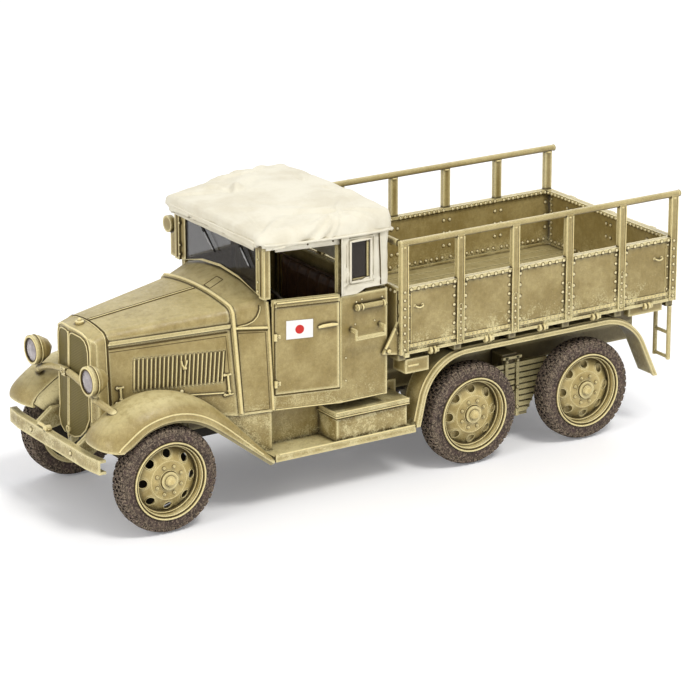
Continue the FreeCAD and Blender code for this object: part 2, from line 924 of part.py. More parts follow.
# Radiator
def radiator_plan(inset):
    """The V-shaped plan of the radiator, drawn inwards by an inset."""
    side = S.radiator_half_width + S.radiator_flare - inset
    front = S.radiator_half_width - inset
    return [
        (S.joint_x, side),
        (S.prow_x - S.prow_rake - S.radiator_flare, side),
        (S.prow_x - S.prow_rake - inset, front),
        (S.prow_x - inset, 0),
        (S.prow_x - S.prow_rake - inset, -front),
        (S.prow_x - S.prow_rake - S.radiator_flare, -side),
        (S.joint_x, -side),
    ]


def mesh_opening(name):
    """The opening of the left mesh panel, with a small inner and a large outer corner."""
    bar = S.centre_bar
    corner = S.radiator_corner
    outline = [
        (bar, S.mesh_bottom),
        (S.mesh_half_width, S.mesh_bottom),
        (S.mesh_half_width, S.mesh_top - corner),
        (S.mesh_half_width - corner / 2, S.mesh_top - corner / 2),
        (S.mesh_half_width - corner, S.mesh_top),
        (bar, S.mesh_top),
    ]
    return prism(name, "YZ", outline, S.joint_x + S.hood_wall, S.prow_x + S.overrun)


def radiator():
    """A shell with a prow down its middle, and its mesh panels."""
    high = S.radiator_crown + S.overrun
    flare = S.radiator_half_width + S.radiator_flare
    front = arch_outline(
        S.prow_x + S.prow_lean, (flare, S.rail_top), (flare, S.radiator_shoulder),
        S.radiator_crown, S.radiator_corner,
    )
    rear = arch_outline(
        S.joint_x, (S.hood_front_low_half, S.rail_top), (S.hood_front_half, S.hood_front_shoulder),
        S.hood_front_crown, S.hood_corner,
    )
    hull = feature("radiator_hull", loft([rear, front]))
    side = [
        (S.prow_x + S.overrun, flare + S.overrun),
        (S.prow_x - S.prow_rake - S.radiator_flare, flare + S.overrun),
        (S.prow_x - S.prow_rake - S.radiator_flare, flare),
        (S.prow_x - S.prow_rake, S.radiator_half_width),
    ]
    ahead = side + [(S.prow_x, 0)] + [(x, -y) for x, y in reversed(side)]
    room = prism("room_ahead", "XY", ahead, S.rail_top - S.overrun, high)
    shaped = cut("radiator_shaped", hull, [room])
    tongue = prism(
        "radiator_tongue", "XZ",
        [
            (S.rail_front_x, S.rail_top + S.prow_lean),
            (S.prow_x, S.rail_top + S.prow_lean),
            (S.prow_x + S.prow_lean, S.mesh_bottom),
            (S.prow_x + S.prow_lean, S.tongue_bottom),
            (S.prow_x - S.prow_rake, S.tongue_bottom + S.prow_rake),
            (S.rail_front_x, S.mesh_bottom),
        ],
        -S.centre_bar, S.centre_bar,
    )
    left = mesh_opening("mesh_left_opening")
    openings = [left, mirrored("mesh_right_opening", left)]
    shell = cut("radiator_shell", joined("radiator_whole", [shaped, tongue]), openings)
    keep(shell, "radiator_shell")
    slab = prism("mesh_plan", "XY", radiator_plan(S.mesh_recess), S.rail_top, high)
    backing = prism("mesh_plan_back", "XY", radiator_plan(S.mesh_recess + S.mesh_thickness), S.rail_top, high)
    sheet_of_mesh = cut("mesh_sheet", slab, [backing])
    panel = common("mesh_panel", sheet_of_mesh, mesh_opening("mesh_panel_outline"))
    pair("radiator_grille", panel)


radiator()


# Hood and cowl
def hood_point(share, front, rear):
    """A value part of the way from the hood's front to its rear."""
    return float(front) + (float(rear) - float(front)) * share


def hood_section(share, low_front, low_rear, grow=0.0):
    """The hood's arch at a share of its length from the front."""
    foot = (
        hood_point(share, S.hood_front_half, S.hood_rear_half) + grow,
        hood_point(share, low_front, low_rear),
    )
    shoulder = (
        hood_point(share, S.hood_front_half, S.hood_rear_half) + grow,
        hood_point(share, S.hood_front_shoulder, S.hood_rear_shoulder) + grow,
    )
    crown = hood_point(share, S.hood_front_crown, S.hood_rear_crown) + grow
    return (hood_point(share, S.joint_x, S.cowl_x), foot, shoulder, crown, S.hood_corner)


def belt_bead(side):
    """The moulding along the lower edge of the hood's top, on one side."""

    def section(x, half, low):
        inner = float(half) - float(S.hood_wall) / 2
        outer = float(half) + float(S.belt_rise)
        high = float(low) + float(S.belt_height)
        return closed([
            at(x, inner * side, low), at(x, outer * side, low), at(x, outer * side, high), at(x, inner * side, high)
        ])

    return loft([
        section(S.joint_x, S.hood_front_half, S.belt_front), section(S.cowl_x, S.hood_rear_half, S.belt_rear)
    ])


def hood_top():
    """The hood's two leaves above the belt line, with the moulding along their foot."""
    front = hood_section(0, S.belt_front, S.belt_rear)
    rear = hood_section(1, S.belt_front, S.belt_rear)
    shell = arch_shell([front, rear], S.hood_wall)
    keep(feature("hood_top", shell.fuse([belt_bead(1), belt_bead(-1)])), "hood_top")


def side_point(along, up):
    """A point on the left side panel's outer face, from shares of its length and of its height."""
    half_low = hood_point(along, S.hood_front_low_half, S.hood_rear_low_half)
    half_high = hood_point(along, S.hood_front_half, S.hood_rear_half)
    low = hood_point(along, S.hood_front_low, S.cab_bottom)
    high = hood_point(along, S.belt_front, S.belt_rear) - float(S.shut_gap)
    return FreeCAD.Vector(
        hood_point(along, S.joint_x, S.cowl_x),
        half_low + (half_high - half_low) * up,
        low + (high - low) * up,
    )


def louvre(index):
    """One slanted louvre of the side panel, raised from its face."""
    share = index / (LOUVRE_COUNT - 1)
    sections = []
    for first, last, up_first, up_last in LOUVRE_SHARES:
        along = first + (last - first) * share
        up = up_first + (up_last - up_first) * share
        start = side_point(along, up)
        end = side_point(along + LOUVRE_WIDTH_SHARE, up)
        normal = end.sub(start).cross(AXES["Z"]).normalize()
        if normal.y < 0:
            normal = normal * -1
        sink = normal * (-float(S.hood_wall) / 2)
        rise = normal * float(S.louvre_rise)
        sections.append(closed([start + sink, end + sink, end + rise, start + rise * LOUVRE_TAPER_SHARE]))
    return loft(sections)


LOUVRE_COUNT = 22
# Each end of the louvres: first and last place along the panel, and up it
LOUVRE_SHARES = [(0.182, 0.879, 0.304, 0.384), (0.202, 0.922, 0.777, 0.755)]
LOUVRE_WIDTH_SHARE = 0.015
LOUVRE_TAPER_SHARE = 0.35


def hood_side():
    """A side panel below the belt line, leaning out towards its foot, with its louvres."""
    wall = FreeCAD.Vector(0, -float(S.hood_wall), 0)

    def quad(along):
        high = side_point(along, 1)
        low = side_point(along, 0)
        return closed([high, low, low + wall, high + wall])

    panel = loft([quad(0), quad(1)])
    ribs = [louvre(index) for index in range(LOUVRE_COUNT)]
    pair("hood_sides", feature("hood_side", panel.fuse(ribs)))


def cowl():
    """The scuttle between the hood and the windscreen, with the bead and the firewall at its front."""
    front = (
        S.cowl_x, (S.hood_rear_low_half, S.cab_bottom), (S.hood_rear_half, S.hood_rear_shoulder),
        S.hood_rear_crown, S.hood_corner,
    )
    rear = (
        S.door_front_x + S.shut_gap, (S.door_front_half, S.cab_bottom),
        (S.door_front_half - S.pillar_width, S.screen_base_edge), S.screen_base_crown, S.hood_corner,
    )
    shell = arch_shell([front, rear], S.panel_wall)
    firewall = Part.Face(arch_outline(*front, inset=float(S.panel_wall) / 2)).extrude(at(-S.panel_wall, 0, 0))
    rise = float(S.bead_rise)

    def bead_section(x):
        return (
            x, (S.hood_rear_low_half + rise, S.cab_bottom), (S.hood_rear_half + rise, S.hood_rear_shoulder + rise),
            S.hood_rear_crown + rise, S.hood_corner,
        )

    bead = arch_shell([bead_section(S.cowl_x), bead_section(S.cowl_x - S.bead_width)], S.panel_wall)
    keep(feature("cowl", shell.fuse([firewall, bead]).removeSplitter()), "cowl")


hood_top()
hood_side()
cowl()


# Windscreen
def screen_outline(half, top, lift):
    """The windscreen's outline: an arched foot on the cowl and a straight head."""
    edge = S.screen_base_edge + lift
    crown = S.screen_base_crown + lift
    return [
        (-half, edge),
        (-half / 2, crown - (S.screen_base_crown - S.screen_base_edge) / 4),
        (0, crown),
        (half / 2, crown - (S.screen_base_crown - S.screen_base_edge) / 4),
        (half, edge),
        (half, top),
        (-half, top),
    ]


def windscreen():
    """Frame with its pillars, and the glass that fills it."""
    back = S.screen_x - S.screen_thickness / 2
    front = S.screen_x + S.screen_thickness / 2
    whole = prism(
        "screen_whole", "YZ", screen_outline(S.screen_half_width, S.screen_top, S.shut_gap), back, front
    )
    opening = prism(
        "screen_opening", "YZ", screen_outline(S.glass_half_width, S.glass_top, S.screen_sill),
        back - S.overrun, front + S.overrun,
    )
    rim = cut("screen_rim", whole, [opening])
    pillar = box(
        "pillar", (S.screen_x - S.pillar_depth / 2, S.screen_x + S.pillar_depth / 2),
        (S.screen_half_width, S.screen_half_width + S.pillar_width),
        (S.screen_base_edge + S.shut_gap, S.roof_low - S.shut_gap),
    )
    keep(joined("windscreen_frame", [rim] + both("pillar", pillar)), "windscreen_frame")
    half = S.glass_thickness / 2
    glass = prism(
        "windscreen_glass", "YZ", screen_outline(S.glass_half_width, S.glass_top, S.screen_sill),
        S.screen_x - half, S.screen_x + half,
    )
    keep(glass, "windscreen_glass")


windscreen()


# Cab
def flank(name, front_x, rear_x, low, high, proud, wall):
    """A wall of the cab's side between two stations, along the slant of the door."""

    def half_at(x):
        share = (S.door_front_x - x) / (S.door_front_x - S.door_rear_x)
        return S.door_front_half + (S.cab_half_width - S.door_front_half) * share

    front = half_at(front_x) + proud
    rear = half_at(rear_x) + proud
    outline = [(front_x, front - wall), (front_x, front), (rear_x, rear), (rear_x, rear - wall)]
    return prism(name, "XY", outline, low, high)


def door(side):
    """A door with a thick sill along its top. The window above it is open."""
    name = "door_" + side
    front = S.door_front_x - S.shut_gap
    rear = S.door_rear_x + S.shut_gap
    panel = flank(name + "_panel", front, rear, S.door_bottom + S.shut_gap, S.door_top, 0, S.panel_wall)
    sill = flank(
        name + "_sill", front, rear, S.door_top - S.sill_height, S.door_top + S.sill_rise,
        S.sill_rise / 2, S.panel_wall + S.sill_rise,
    )
    whole = joined(name + "_whole", [panel, sill])
    keep(whole if side == "left" else mirrored(name, whole), name)


def cab_quarters():
    """The strip below each door, the panel behind it and its window post."""
    strip = flank(
        "door_step", S.door_front_x, S.door_rear_x, S.cab_bottom, S.door_bottom, 0, S.panel_wall
    )
    inner = S.cab_half_width - S.panel_wall
    panel = box(
        "quarter_panel", (S.cab_rear_x, S.door_rear_x), (inner, S.cab_half_width),
        (S.cab_bottom, S.quarter_low - S.shut_gap),
    )
    post = box(
        "window_post", (S.door_rear_x - S.post_width, S.door_rear_x), (inner - S.post_width, inner),
        (S.cab_bottom, S.roof_low),
    )
    pair("cab_quarters", joined("cab_quarter", [strip, panel, post]))


def cab_floor():
    """Floor of the cab with the box that carries the seat."""
    inner = S.cab_half_width - S.panel_wall - S.post_width
    front = S.door_front_half - S.panel_wall - S.post_width
    nose = S.hood_rear_low_half - S.panel_wall - S.bead_rise
    side = [
        (S.cab_rear_x + S.panel_wall, inner),
        (S.door_rear_x, inner),
        (S.door_front_x, front),
        (S.cowl_x - S.panel_wall - S.bead_width, nose),
    ]
    outline = side + [(x, -y) for x, y in reversed(side)]
    plate = prism("cab_plate", "XY", outline, S.cab_bottom, S.cab_bottom + S.floor_wall)
    seat_box = box(
        "seat_box", (S.cab_rear_x + S.panel_wall, S.seat_front_x), (-S.seat_half_width, S.seat_half_width),
        (S.cab_bottom + S.floor_wall, S.seat_box_top),
    )
    keep(joined("cab_floor", [plate, seat_box]), "cab_floor")


def side_bracket():
    """A tube held by two clamps on the left quarter, and a loop of strap below it."""
    face = S.cab_half_width
    tube = rod(
        "clamp_tube", "X", S.clamp_rear_x, face + S.clamp_radius, S.clamp_z, S.clamp_radius,
        S.clamp_front_x - S.clamp_rear_x,
    )
    reach = (face, face + S.loop_reach)
    arms = [
        box(
            "loop_arm_%d" % index, (x, x + S.loop_wall), reach,
            (S.loop_low, S.loop_high),
        )
        for index, x in enumerate((S.loop_rear_x, S.loop_front_x - S.loop_wall))
    ]
    bar = box(
        "loop_bar", (S.loop_rear_x, S.loop_front_x), (reach[1] - S.loop_wall, reach[1]),
        (S.loop_low, S.loop_low + S.loop_wall * 2),
    )
    rooms = [box(
        "loop_room", (S.loop_rear_x - S.overrun, S.loop_front_x + S.overrun),
        (face - S.overrun, reach[1] - S.loop_wall), (S.loop_low - S.overrun, S.loop_high - S.loop_wall * 2),
    )]
    loop = cut("strap_loop", joined("strap_loop_whole", arms + [bar]), rooms)
    keep(gathered("side_bracket", [tube, loop]), "side_bracket")


def cab_back():
    inner = S.cab_half_width - S.panel_wall
    keep(box(
        "cab_back", (S.cab_rear_x, S.cab_rear_x + S.panel_wall), (-inner, inner),
        (S.cab_bottom, S.quarter_top),
    ), "cab_back")


def rounded(name, block):
    """A block with all its edges rounded, for a cushion."""
    doc.recompute()
    piece = doc.addObject("Part::Fillet", name)
    piece.Base = block
    radius = float(S.soft_corner)
    piece.Edges = [(index + 1, radius, radius) for index in range(len(block.Shape.Edges))]
    return keep(piece, name)


def seat():
    """Bench cushion on its box, and the backrest behind it."""
    rear = S.cab_rear_x + S.panel_wall + S.soft_gap
    base = S.seat_box_top + S.soft_gap
    back_low = base + S.cushion_height + S.soft_gap
    rounded("seat_cushion", box(
        "cushion_block", (rear, S.seat_front_x), (-S.seat_half_width, S.seat_half_width),
        (base, base + S.cushion_height),
    ))
    rounded("seat_back", box(
        "backrest_block", (rear, rear + S.backrest_thickness), (-S.seat_half_width, S.seat_half_width),
        (back_low, S.backrest_top),
    ))


def steering():
    """Steering wheel and its column, sloping down to the firewall."""
    slope = math.degrees(math.atan(COLUMN_SLOPE_SHARE))
    turn = FreeCAD.Rotation(AXES["Y"], 90 + slope)
    ring = doc.addObject("Part::Torus", "steering_ring")
    bind(ring, "Radius1", S.steering_radius)
    bind(ring, "Radius2", S.steering_tube)
    place(ring, S.wheel_x, S.wheel_y, S.wheel_z, turn)
    run = float(S.cowl_x) - float(S.panel_wall) - float(S.column_radius) - float(S.wheel_x)
    column = doc.addObject("Part::Cylinder", "steering_column")
    bind(column, "Radius", S.column_radius)
    column.Height = run / math.cos(math.radians(slope))
    place(column, S.wheel_x, S.wheel_y, S.wheel_z, turn)
    spoke = rod(
        "steering_spoke", "Y", S.wheel_x, S.wheel_y - S.steering_radius, S.wheel_z,
        S.steering_tube, S.steering_radius * 2,
    )
    keep(joined("steering_wheel", [ring, column, spoke]), "steering_wheel")


def dashboard():
    half = S.screen_half_width - S.panel_wall
    keep(box(
        "dashboard", (S.door_front_x - S.dash_depth, S.door_front_x), (-half, half),
        (S.dash_bottom, S.screen_base_edge - S.hood_corner),
    ), "dashboard")


door("left")
door("right")
cab_quarters()
cab_floor()
side_bracket()
cab_back()
seat()
steering()
dashboard()


# Canvas roof
def hanging(low_x, low_half, high_x, high_half, bottom):
    """A strip of canvas below the roof's side, held inside the thickness of its wall."""
    wall = float(S.canvas_wall)
    skin = wall * STRIP_SHARE
    top = float(S.roof_low) + wall

    def section(x, half):
        return closed([
            at(x, half - wall + skin, bottom), at(x, half - skin, bottom),
            at(x, half - skin, top), at(x, half - wall + skin, top),
        ])

    return loft([section(low_x, float(low_half)), section(high_x, float(high_half))])


STRIP_SHARE = 0.1


def canopy():
    """One canvas over the cab: crowned roof, quarters with a pane, back curtain and valances."""
    wall = float(S.canvas_wall)
    rear_x = S.cab_rear_x - S.canvas_wall
    low = float(S.roof_low)
    foot = float(S.quarter_low)
    over = float(S.overrun)

    def rear_part(x, bottom, inset):
        return arch_outline(
            x, (S.roof_half_width, bottom), (S.roof_half_width, S.roof_shoulder), S.roof_crown,
            S.roof_corner, inset,
        )

    def front_part(x, bottom, inset):
        return arch_outline(
            x, (S.roof_front_half, bottom), (S.roof_front_half, S.roof_front_shoulder),
            S.roof_front_crown, S.roof_corner, inset,
        )

    back = Part.Face(rear_part(rear_x, foot, 0.0)).extrude(at(S.roof_bow_x - rear_x, 0, 0))
    hood = loft([rear_part(S.roof_bow_x, low, 0.0), front_part(S.roof_front_x, low, 0.0)])
    back_room = Part.Face(rear_part(rear_x + wall, foot - over, wall)).extrude(
        at(S.roof_bow_x - rear_x - wall, 0, 0)
    )
    hood_room = loft([
        rear_part(S.roof_bow_x, low - over, wall), front_part(S.roof_front_x - wall, low - over, wall)
    ])
    shell = back.fuse(hood).cut(back_room).cut(hood_room)

    def roof_half(x):
        share = (S.roof_bow_x - x) / (S.roof_bow_x - S.roof_front_x)
        return S.roof_half_width + (S.roof_front_half - S.roof_half_width) * share

    bow_end = S.roof_bow_x - wall
    strip = hanging(
        bow_end, roof_half(bow_end), S.roof_front_x - wall, roof_half(S.roof_front_x - wall),
        float(S.side_valance_low),
    ).fuse(hanging(bow_end, roof_half(bow_end), S.door_rear_x, roof_half(S.door_rear_x), foot))
    skin = wall * STRIP_SHARE
    front_strip = Part.makeBox(
        wall - skin * 2, float(S.roof_front_half - S.roof_corner) * 2, float(S.roof_low - S.valance_low) + wall,
        at(float(S.roof_front_x) - wall + skin, -(S.roof_front_half - S.roof_corner), S.valance_low),
    )
    shell = shell.fuse([strip, strip.mirror(FreeCAD.Vector(), AXES["Y"]), front_strip])
    pane = Part.makeBox(
        float(S.pane_front_x - S.pane_rear_x), float(S.roof_half_width + S.overrun) * 2,
        float(S.pane_high - S.pane_low), at(S.pane_rear_x, -(S.roof_half_width + S.overrun), S.pane_low),
    )
    back_pane = Part.makeBox(
        wall + over, float(S.back_pane_half) * 2, float(S.pane_high - S.pane_low),
        at(rear_x - S.overrun, -S.back_pane_half, S.pane_low),
    )
    keep(feature("canopy", shell.cut([pane, back_pane]).removeSplitter()), "canopy")


canopy()


# Lamps. The bowl is given from its back to its rim, as shares of its depth and of its radius,
# and the lens as shares of its bulge and of its radius.
BOWL_SHARES = [(1.0, 0.17), (0.8, 0.6), (0.45, 0.9), (0.12, 0.97)]
LENS_SHARES = [(-0.5, 1.0), (0.3, 0.5)]
LENS_TIP_SHARE = 0.4


def headlamps():
    """Bullet-shaped lamps with a lens in each rim."""
    depth = S.lamp_depth
    radius = S.lamp_radius
    rim = S.lens_bulge
    bowl = [(-depth * back, radius * out) for back, out in BOWL_SHARES]
    outline = [(-depth, 0)] + bowl + [
        (-rim, radius),
        (0, radius),
        (0, S.lens_radius),
        (-rim, S.lens_radius),
        (-rim, 0),
    ]
    lamp = turned("headlamp", "XY", "H_Axis", outline)
    place(lamp, S.lamp_x, S.lamp_y, S.lamp_z)
    pair("headlamps", lamp)
    bulge = [(rim * ahead, S.lens_radius * out) for ahead, out in LENS_SHARES]
    lens_outline = [(-rim, 0), (-rim, S.lens_radius)] + bulge + [(rim * LENS_TIP_SHARE, 0)]
    lens = turned("lens", "XY", "H_Axis", lens_outline)
    place(lens, S.lamp_x, S.lamp_y, S.lamp_z)
    pair("headlamp_lenses", lens)


def lamp_bar():
    """Arched tube between the fenders that carries the lamps, clamped to the radiator's prow."""
    x = float(S.lamp_x) - float(S.lamp_depth) * BAR_PLACE_SHARE
    radius = float(S.bar_radius)
    side = at(x, S.lamp_y, S.bar_side)
    crown = at(x, 0, S.bar_crown)
    other = at(x, -S.lamp_y, S.bar_side)
    above = at(S.bar_foot_x, S.bar_foot_y, S.bar_foot_z)
    arc = Part.Arc(other, crown, side).toShape()
    start = arc.tangentAt(arc.FirstParameter)
    profile = Part.Wire([Part.Circle(other, start, radius).toShape()])
    tube = Part.Wire([arc]).makePipeShell([profile], True, False)
    seat_point = fender_shape.distToShape(Part.Vertex(above))[1][0][0]
    leg_line = seat_point.sub(side)
    over = float(S.overrun)
    leg = Part.makeCylinder(radius, leg_line.Length + over, side, leg_line)
    leg = leg.cut(Part.makeCylinder(over, over * 2, seat_point, seat_point.sub(above)))
    elbow = Part.makeSphere(radius * ELBOW_SHARE, side)
    lamp_foot = float(S.lamp_z) - float(S.lamp_radius)
    stem = Part.makeCylinder(radius * STEM_SHARE, lamp_foot - float(S.bar_side) + radius * STEM_SINK_SHARE, side)
    left = leg.fuse([elbow, stem])
    right = left.mirror(FreeCAD.Vector(), AXES["Y"])
    clamp_half = radius * ELBOW_SHARE
    clamp = Part.makeBox(
        x - float(S.prow_x) + clamp_half, float(S.centre_bar) * 2, clamp_half * 2,
        at(S.prow_x, -S.centre_bar, float(S.bar_crown) - clamp_half),
    )
    keep(feature("lamp_bar", tube.fuse([left, right, clamp])), "lamp_bar")


BAR_PLACE_SHARE = 0.4
ELBOW_SHARE = 1.15
STEM_SHARE = 0.8
STEM_SINK_SHARE = 0.15


def side_lamp():
    """Round lamp on a slotted bracket at the right windscreen pillar."""
    pillar = -(S.screen_half_width + S.pillar_width)
    disc = rod(
        "disc_lamp", "X", S.screen_x, -S.disc_lamp_y, S.disc_lamp_z, S.disc_lamp_radius, S.disc_lamp_depth
    )
    plate = box(
        "disc_bracket", (S.screen_x, S.screen_x + S.glass_thickness), (-S.disc_lamp_y, pillar),
        (S.screen_base_edge + S.shut_gap, S.disc_lamp_z),
    )
    keep(joined("side_lamp", [disc, plate]), "side_lamp")


headlamps()
side_lamp()


# Front fenders. Each station is the lip's place as shares of the tyre's radius from the axle,
# the slope of the sheet's normal from upright in degrees, the crown's height as a share of that
# radius, and the sheet's width as a share of its full width.
FENDER_SHARES = [
    (-2.14, -0.08, -40, 0.10, 0.72),
    (-1.80, 0.18, -38, 0.16, 0.72),
    (-1.42, 0.47, -38, 0.23, 0.63),
    (-1.05, 0.75, -34, 0.30, 0.66),
    (-0.74, 0.95, -25, 0.35, 0.78),
    (-0.42, 1.08, -14, 0.38, 0.87),
    (-0.09, 1.13, -2, 0.39, 0.97),
    (0.21, 1.10, 12, 0.395, 1.0),
    (0.52, 0.99, 26, 0.41, 1.0),
    (0.77, 0.82, 42, 0.42, 1.0),
    (0.90, 0.745, 62, 0.395, 1.0),
    (0.94, 0.71, 85, 0.35, 1.0),
]
# Section of the sheet from its lip to its inner edge: shares of the width and of the crown's height
CROWN_SHARES = [(0.0, 0.0), (0.03, 0.42), (0.19, 0.83), (0.50, 1.0), (0.80, 0.92), (1.0, 0.68)]


def fender_curve(station, drop):
    """The sheet's section at one station, let down towards the wheel by a drop."""
    along, up, slope, crown, spread = station
    radius = float(S.tyre_radius)
    x = float(S.front_axle_x) + along * radius
    z = radius + up * radius
    lean = math.radians(slope)
    width = (float(S.fender_outer) - float(S.fender_inner)) * spread
    points = []
    for across, rise in CROWN_SHARES:
        out = rise * crown * radius - drop
        inset = drop if across < 0.5 else 0.0
        y = float(S.fender_outer) - across * width - inset * (1 - across)
        points.append(FreeCAD.Vector(x + math.sin(lean) * out, y, z + math.cos(lean) * out))
    return points


def fender_section(station):
    outer = fender_curve(station, 0.0)
    inner = fender_curve(station, float(S.fender_wall))
    top = Part.BSplineCurve()
    top.interpolate(outer)
    under = Part.BSplineCurve()
    under.interpolate(inner[::-1])
    return Part.Wire([
        top.toShape(),
        Part.LineSegment(outer[-1], inner[-1]).toShape(),
        under.toShape(),
        Part.LineSegment(inner[0], outer[0]).toShape(),
    ])


def front_fenders():
    """Crowned fender over each front wheel, with the apron inside it."""
    sheet_solid = loft([fender_section(station) for station in FENDER_SHARES], ruled=False)
    wall = float(S.fender_wall)
    inner = float(S.fender_inner)
    top = []
    for station in FENDER_SHARES:
        edge = fender_curve(station, wall / 2)[-1]
        if edge.x > float(S.front_axle_x) and edge.z > float(S.bumper_top):
            top.append(FreeCAD.Vector(edge.x, inner, edge.z))
    foot = [
        at(S.apron_front_x, inner, S.apron_bottom),
        at(S.front_axle_x, inner, S.apron_bottom),
    ]
    apron = Part.Face(closed(top + foot)).extrude(at(0, S.fender_wall, 0))
    left = sheet_solid.fuse(apron)
    pair("front_fenders", feature("front_fender", left))
    return left.fuse(left.mirror(FreeCAD.Vector(), AXES["Y"]))


def running_boards():
    """Board below each door, with the splash panel up to the cab."""
    board = box(
        "board", (S.board_rear_x, S.board_front_x), (S.board_inner, S.board_outer), (S.board_bottom, S.board_top)
    )
    lip = box(
        "board_edge", (S.board_rear_x, S.board_front_x), (S.board_outer - S.board_lip, S.board_outer),
        (S.board_top, S.board_top + S.board_lip),
    )
    splash = box(
        "splash_panel", (S.board_rear_x, S.splash_front_x), (S.board_inner - S.splash_wall, S.board_inner),
        (S.board_bottom, S.cab_bottom),
    )
    pair("running_boards", joined("running_board", [board, lip, splash]))


def toolbox():
    """Tool box on the left running board, with an overhanging lid."""
    outer = S.toolbox_outer - S.lid_overhang
    chest = box(
        "chest", (S.toolbox_rear_x, S.toolbox_front_x), (S.board_inner, outer),
        (S.board_top, S.toolbox_top - S.toolbox_lid),
    )
    lid = box(
        "chest_lid", (S.toolbox_rear_x - S.lid_overhang, S.toolbox_front_x + S.lid_overhang),
        (S.board_inner, S.toolbox_outer), (S.toolbox_top - S.toolbox_lid, S.toolbox_top),
    )
    keep(joined("toolbox", [chest, lid]), "toolbox")


def fender_path(drop):
    """The rear fender's line in side view, let down by a drop, from its front foot to its tip.

    A leaning straight foot, a bend, a level top, a bend and a leaning straight tail.
    """
    top = float(S.rear_fender_top) - drop
    bend = float(S.rear_fender_bend) - drop
    crown = top - bend

    def side_point(x, z):
        return FreeCAD.Vector(x, 0, z)

    def flank_points(foot_x, foot_z, lean_share, away):
        """The foot, the bend's end, a point on the bend and the bend's start at the top."""
        lean = math.atan(lean_share)
        low_z = crown + bend * math.sin(lean)
        foot = foot_x - away * drop / math.cos(lean)
        low_x = foot - away * lean_share * (low_z - foot_z)
        centre_x = low_x - away * bend * math.cos(lean)
        half = (math.pi / 2 + lean) / 2
        return [
            side_point(foot, foot_z),
            side_point(low_x, low_z),
            side_point(centre_x + away * bend * math.cos(half), crown + bend * math.sin(half)),
            side_point(centre_x, top),
        ]

    front = flank_points(float(S.rear_fender_front_x), float(S.board_top), FRONT_LEAN_SHARE, 1)
    rear = flank_points(float(S.rear_fender_rear_x), float(S.rear_fender_tip), REAR_LEAN_SHARE, -1)
    return [
        Part.LineSegment(front[0], front[1]).toShape(),
        Part.Arc(front[1], front[2], front[3]).toShape(),
        Part.LineSegment(front[3], rear[3]).toShape(),
        Part.Arc(rear[3], rear[2], rear[1]).toShape(),
        Part.LineSegment(rear[1], rear[0]).toShape(),
    ]


FRONT_LEAN_SHARE = 0.23
REAR_LEAN_SHARE = 0.46


def rear_fenders():
    """One long sheet over both rear wheels on each side, with a turned-down lip."""

    def band(depth, inner, outer):
        above = fender_path(0.0)
        below = fender_path(depth)
        start = Part.LineSegment(below[0].Vertexes[0].Point, above[0].Vertexes[0].Point).toShape()
        end = Part.LineSegment(above[-1].Vertexes[-1].Point, below[-1].Vertexes[-1].Point).toShape()
        wire = Part.Wire(Part.__sortEdges__([start] + above + [end] + below))
        face = Part.Face(wire)
        face.translate(at(0, inner, 0))
        return face.extrude(at(0, outer - inner, 0))

    wall = float(S.fender_wall)
    deep = band(float(S.rear_fender_lip), S.fender_outer - S.fender_wall, S.fender_outer)
    thin = band(wall, S.rear_fender_inner, S.fender_outer - S.fender_wall)
    pair("rear_fenders", feature("rear_fender", thin.fuse(deep).removeSplitter()))


fender_shape = front_fenders()
lamp_bar()
running_boards()
toolbox()
rear_fenders()


# Cargo bed
bed_inner = S.bed_half_width - S.bed_wall
post_pitch = (S.bed_front_x - S.bed_rear_x - S.post_span) / BAY_COUNT


def post_x(index):
    """Rear face of a post, counted from the tail."""
    return S.bed_rear_x + post_pitch * index


def bed_side(side):
    """Panel with a flange along its top, posts outside it and a tube rail above."""
    name = "bed_side_" + side
    panel = box(
        name + "_panel", (S.bed_rear_x, S.bed_front_x), (bed_inner, S.bed_half_width), (S.bed_bottom, S.bed_top)
    )
    flange = box(
        name + "_flange", (S.bed_rear_x, S.bed_front_x),
        (bed_inner - S.bed_flange / 2, S.bed_half_width + S.post_rise), (S.bed_top - S.bed_wall, S.bed_top),
    )
    foot = box(
        name + "_foot", (S.bed_rear_x, S.bed_front_x), (bed_inner, S.bed_half_width + S.post_rise),
        (S.bed_bottom, S.bed_bottom + S.bed_wall),
    )
    posts = [
        box(
            "%s_post_%d" % (name, index), (post_x(index), post_x(index) + S.post_span),
            (bed_inner, S.bed_half_width + S.post_rise), (S.bed_bottom, S.rail_z),
        )
        for index in range(BAY_COUNT + 1)
    ]
    rail = rod(
        name + "_rail", "X", S.bed_rear_x - S.bed_rail_radius, bed_inner + S.bed_wall / 2, S.rail_z,
        S.bed_rail_radius, S.bed_front_x - S.bed_rear_x + S.bed_rail_radius,
    )
    lugs = []
    for index in range(BAY_COUNT + 1):
        lug_x = post_x(index) + post_pitch / 2 - S.lug_radius
        if index == BAY_COUNT:
            lug_x = S.bed_front_x - S.post_span
        lugs.append(box(
            "%s_lug_%d" % (name, index), (lug_x, lug_x + S.lug_radius * 2),
            (bed_inner, S.bed_half_width + S.lug_reach), (S.bed_bottom - S.lug_radius, S.bed_bottom + S.lug_radius),
        ))
    whole = joined(name + "_whole", [panel, flange, foot, rail] + posts + lugs)
    keep(whole if side == "left" else mirrored(name, whole), name)


def bed_floor():
    keep(box(
        "bed_floor", (S.bed_rear_x + S.bed_wall, S.bed_front_x - S.bed_wall), (-bed_inner, bed_inner),
        (S.bed_floor_low, S.bed_floor_high),
    ), "bed_floor")


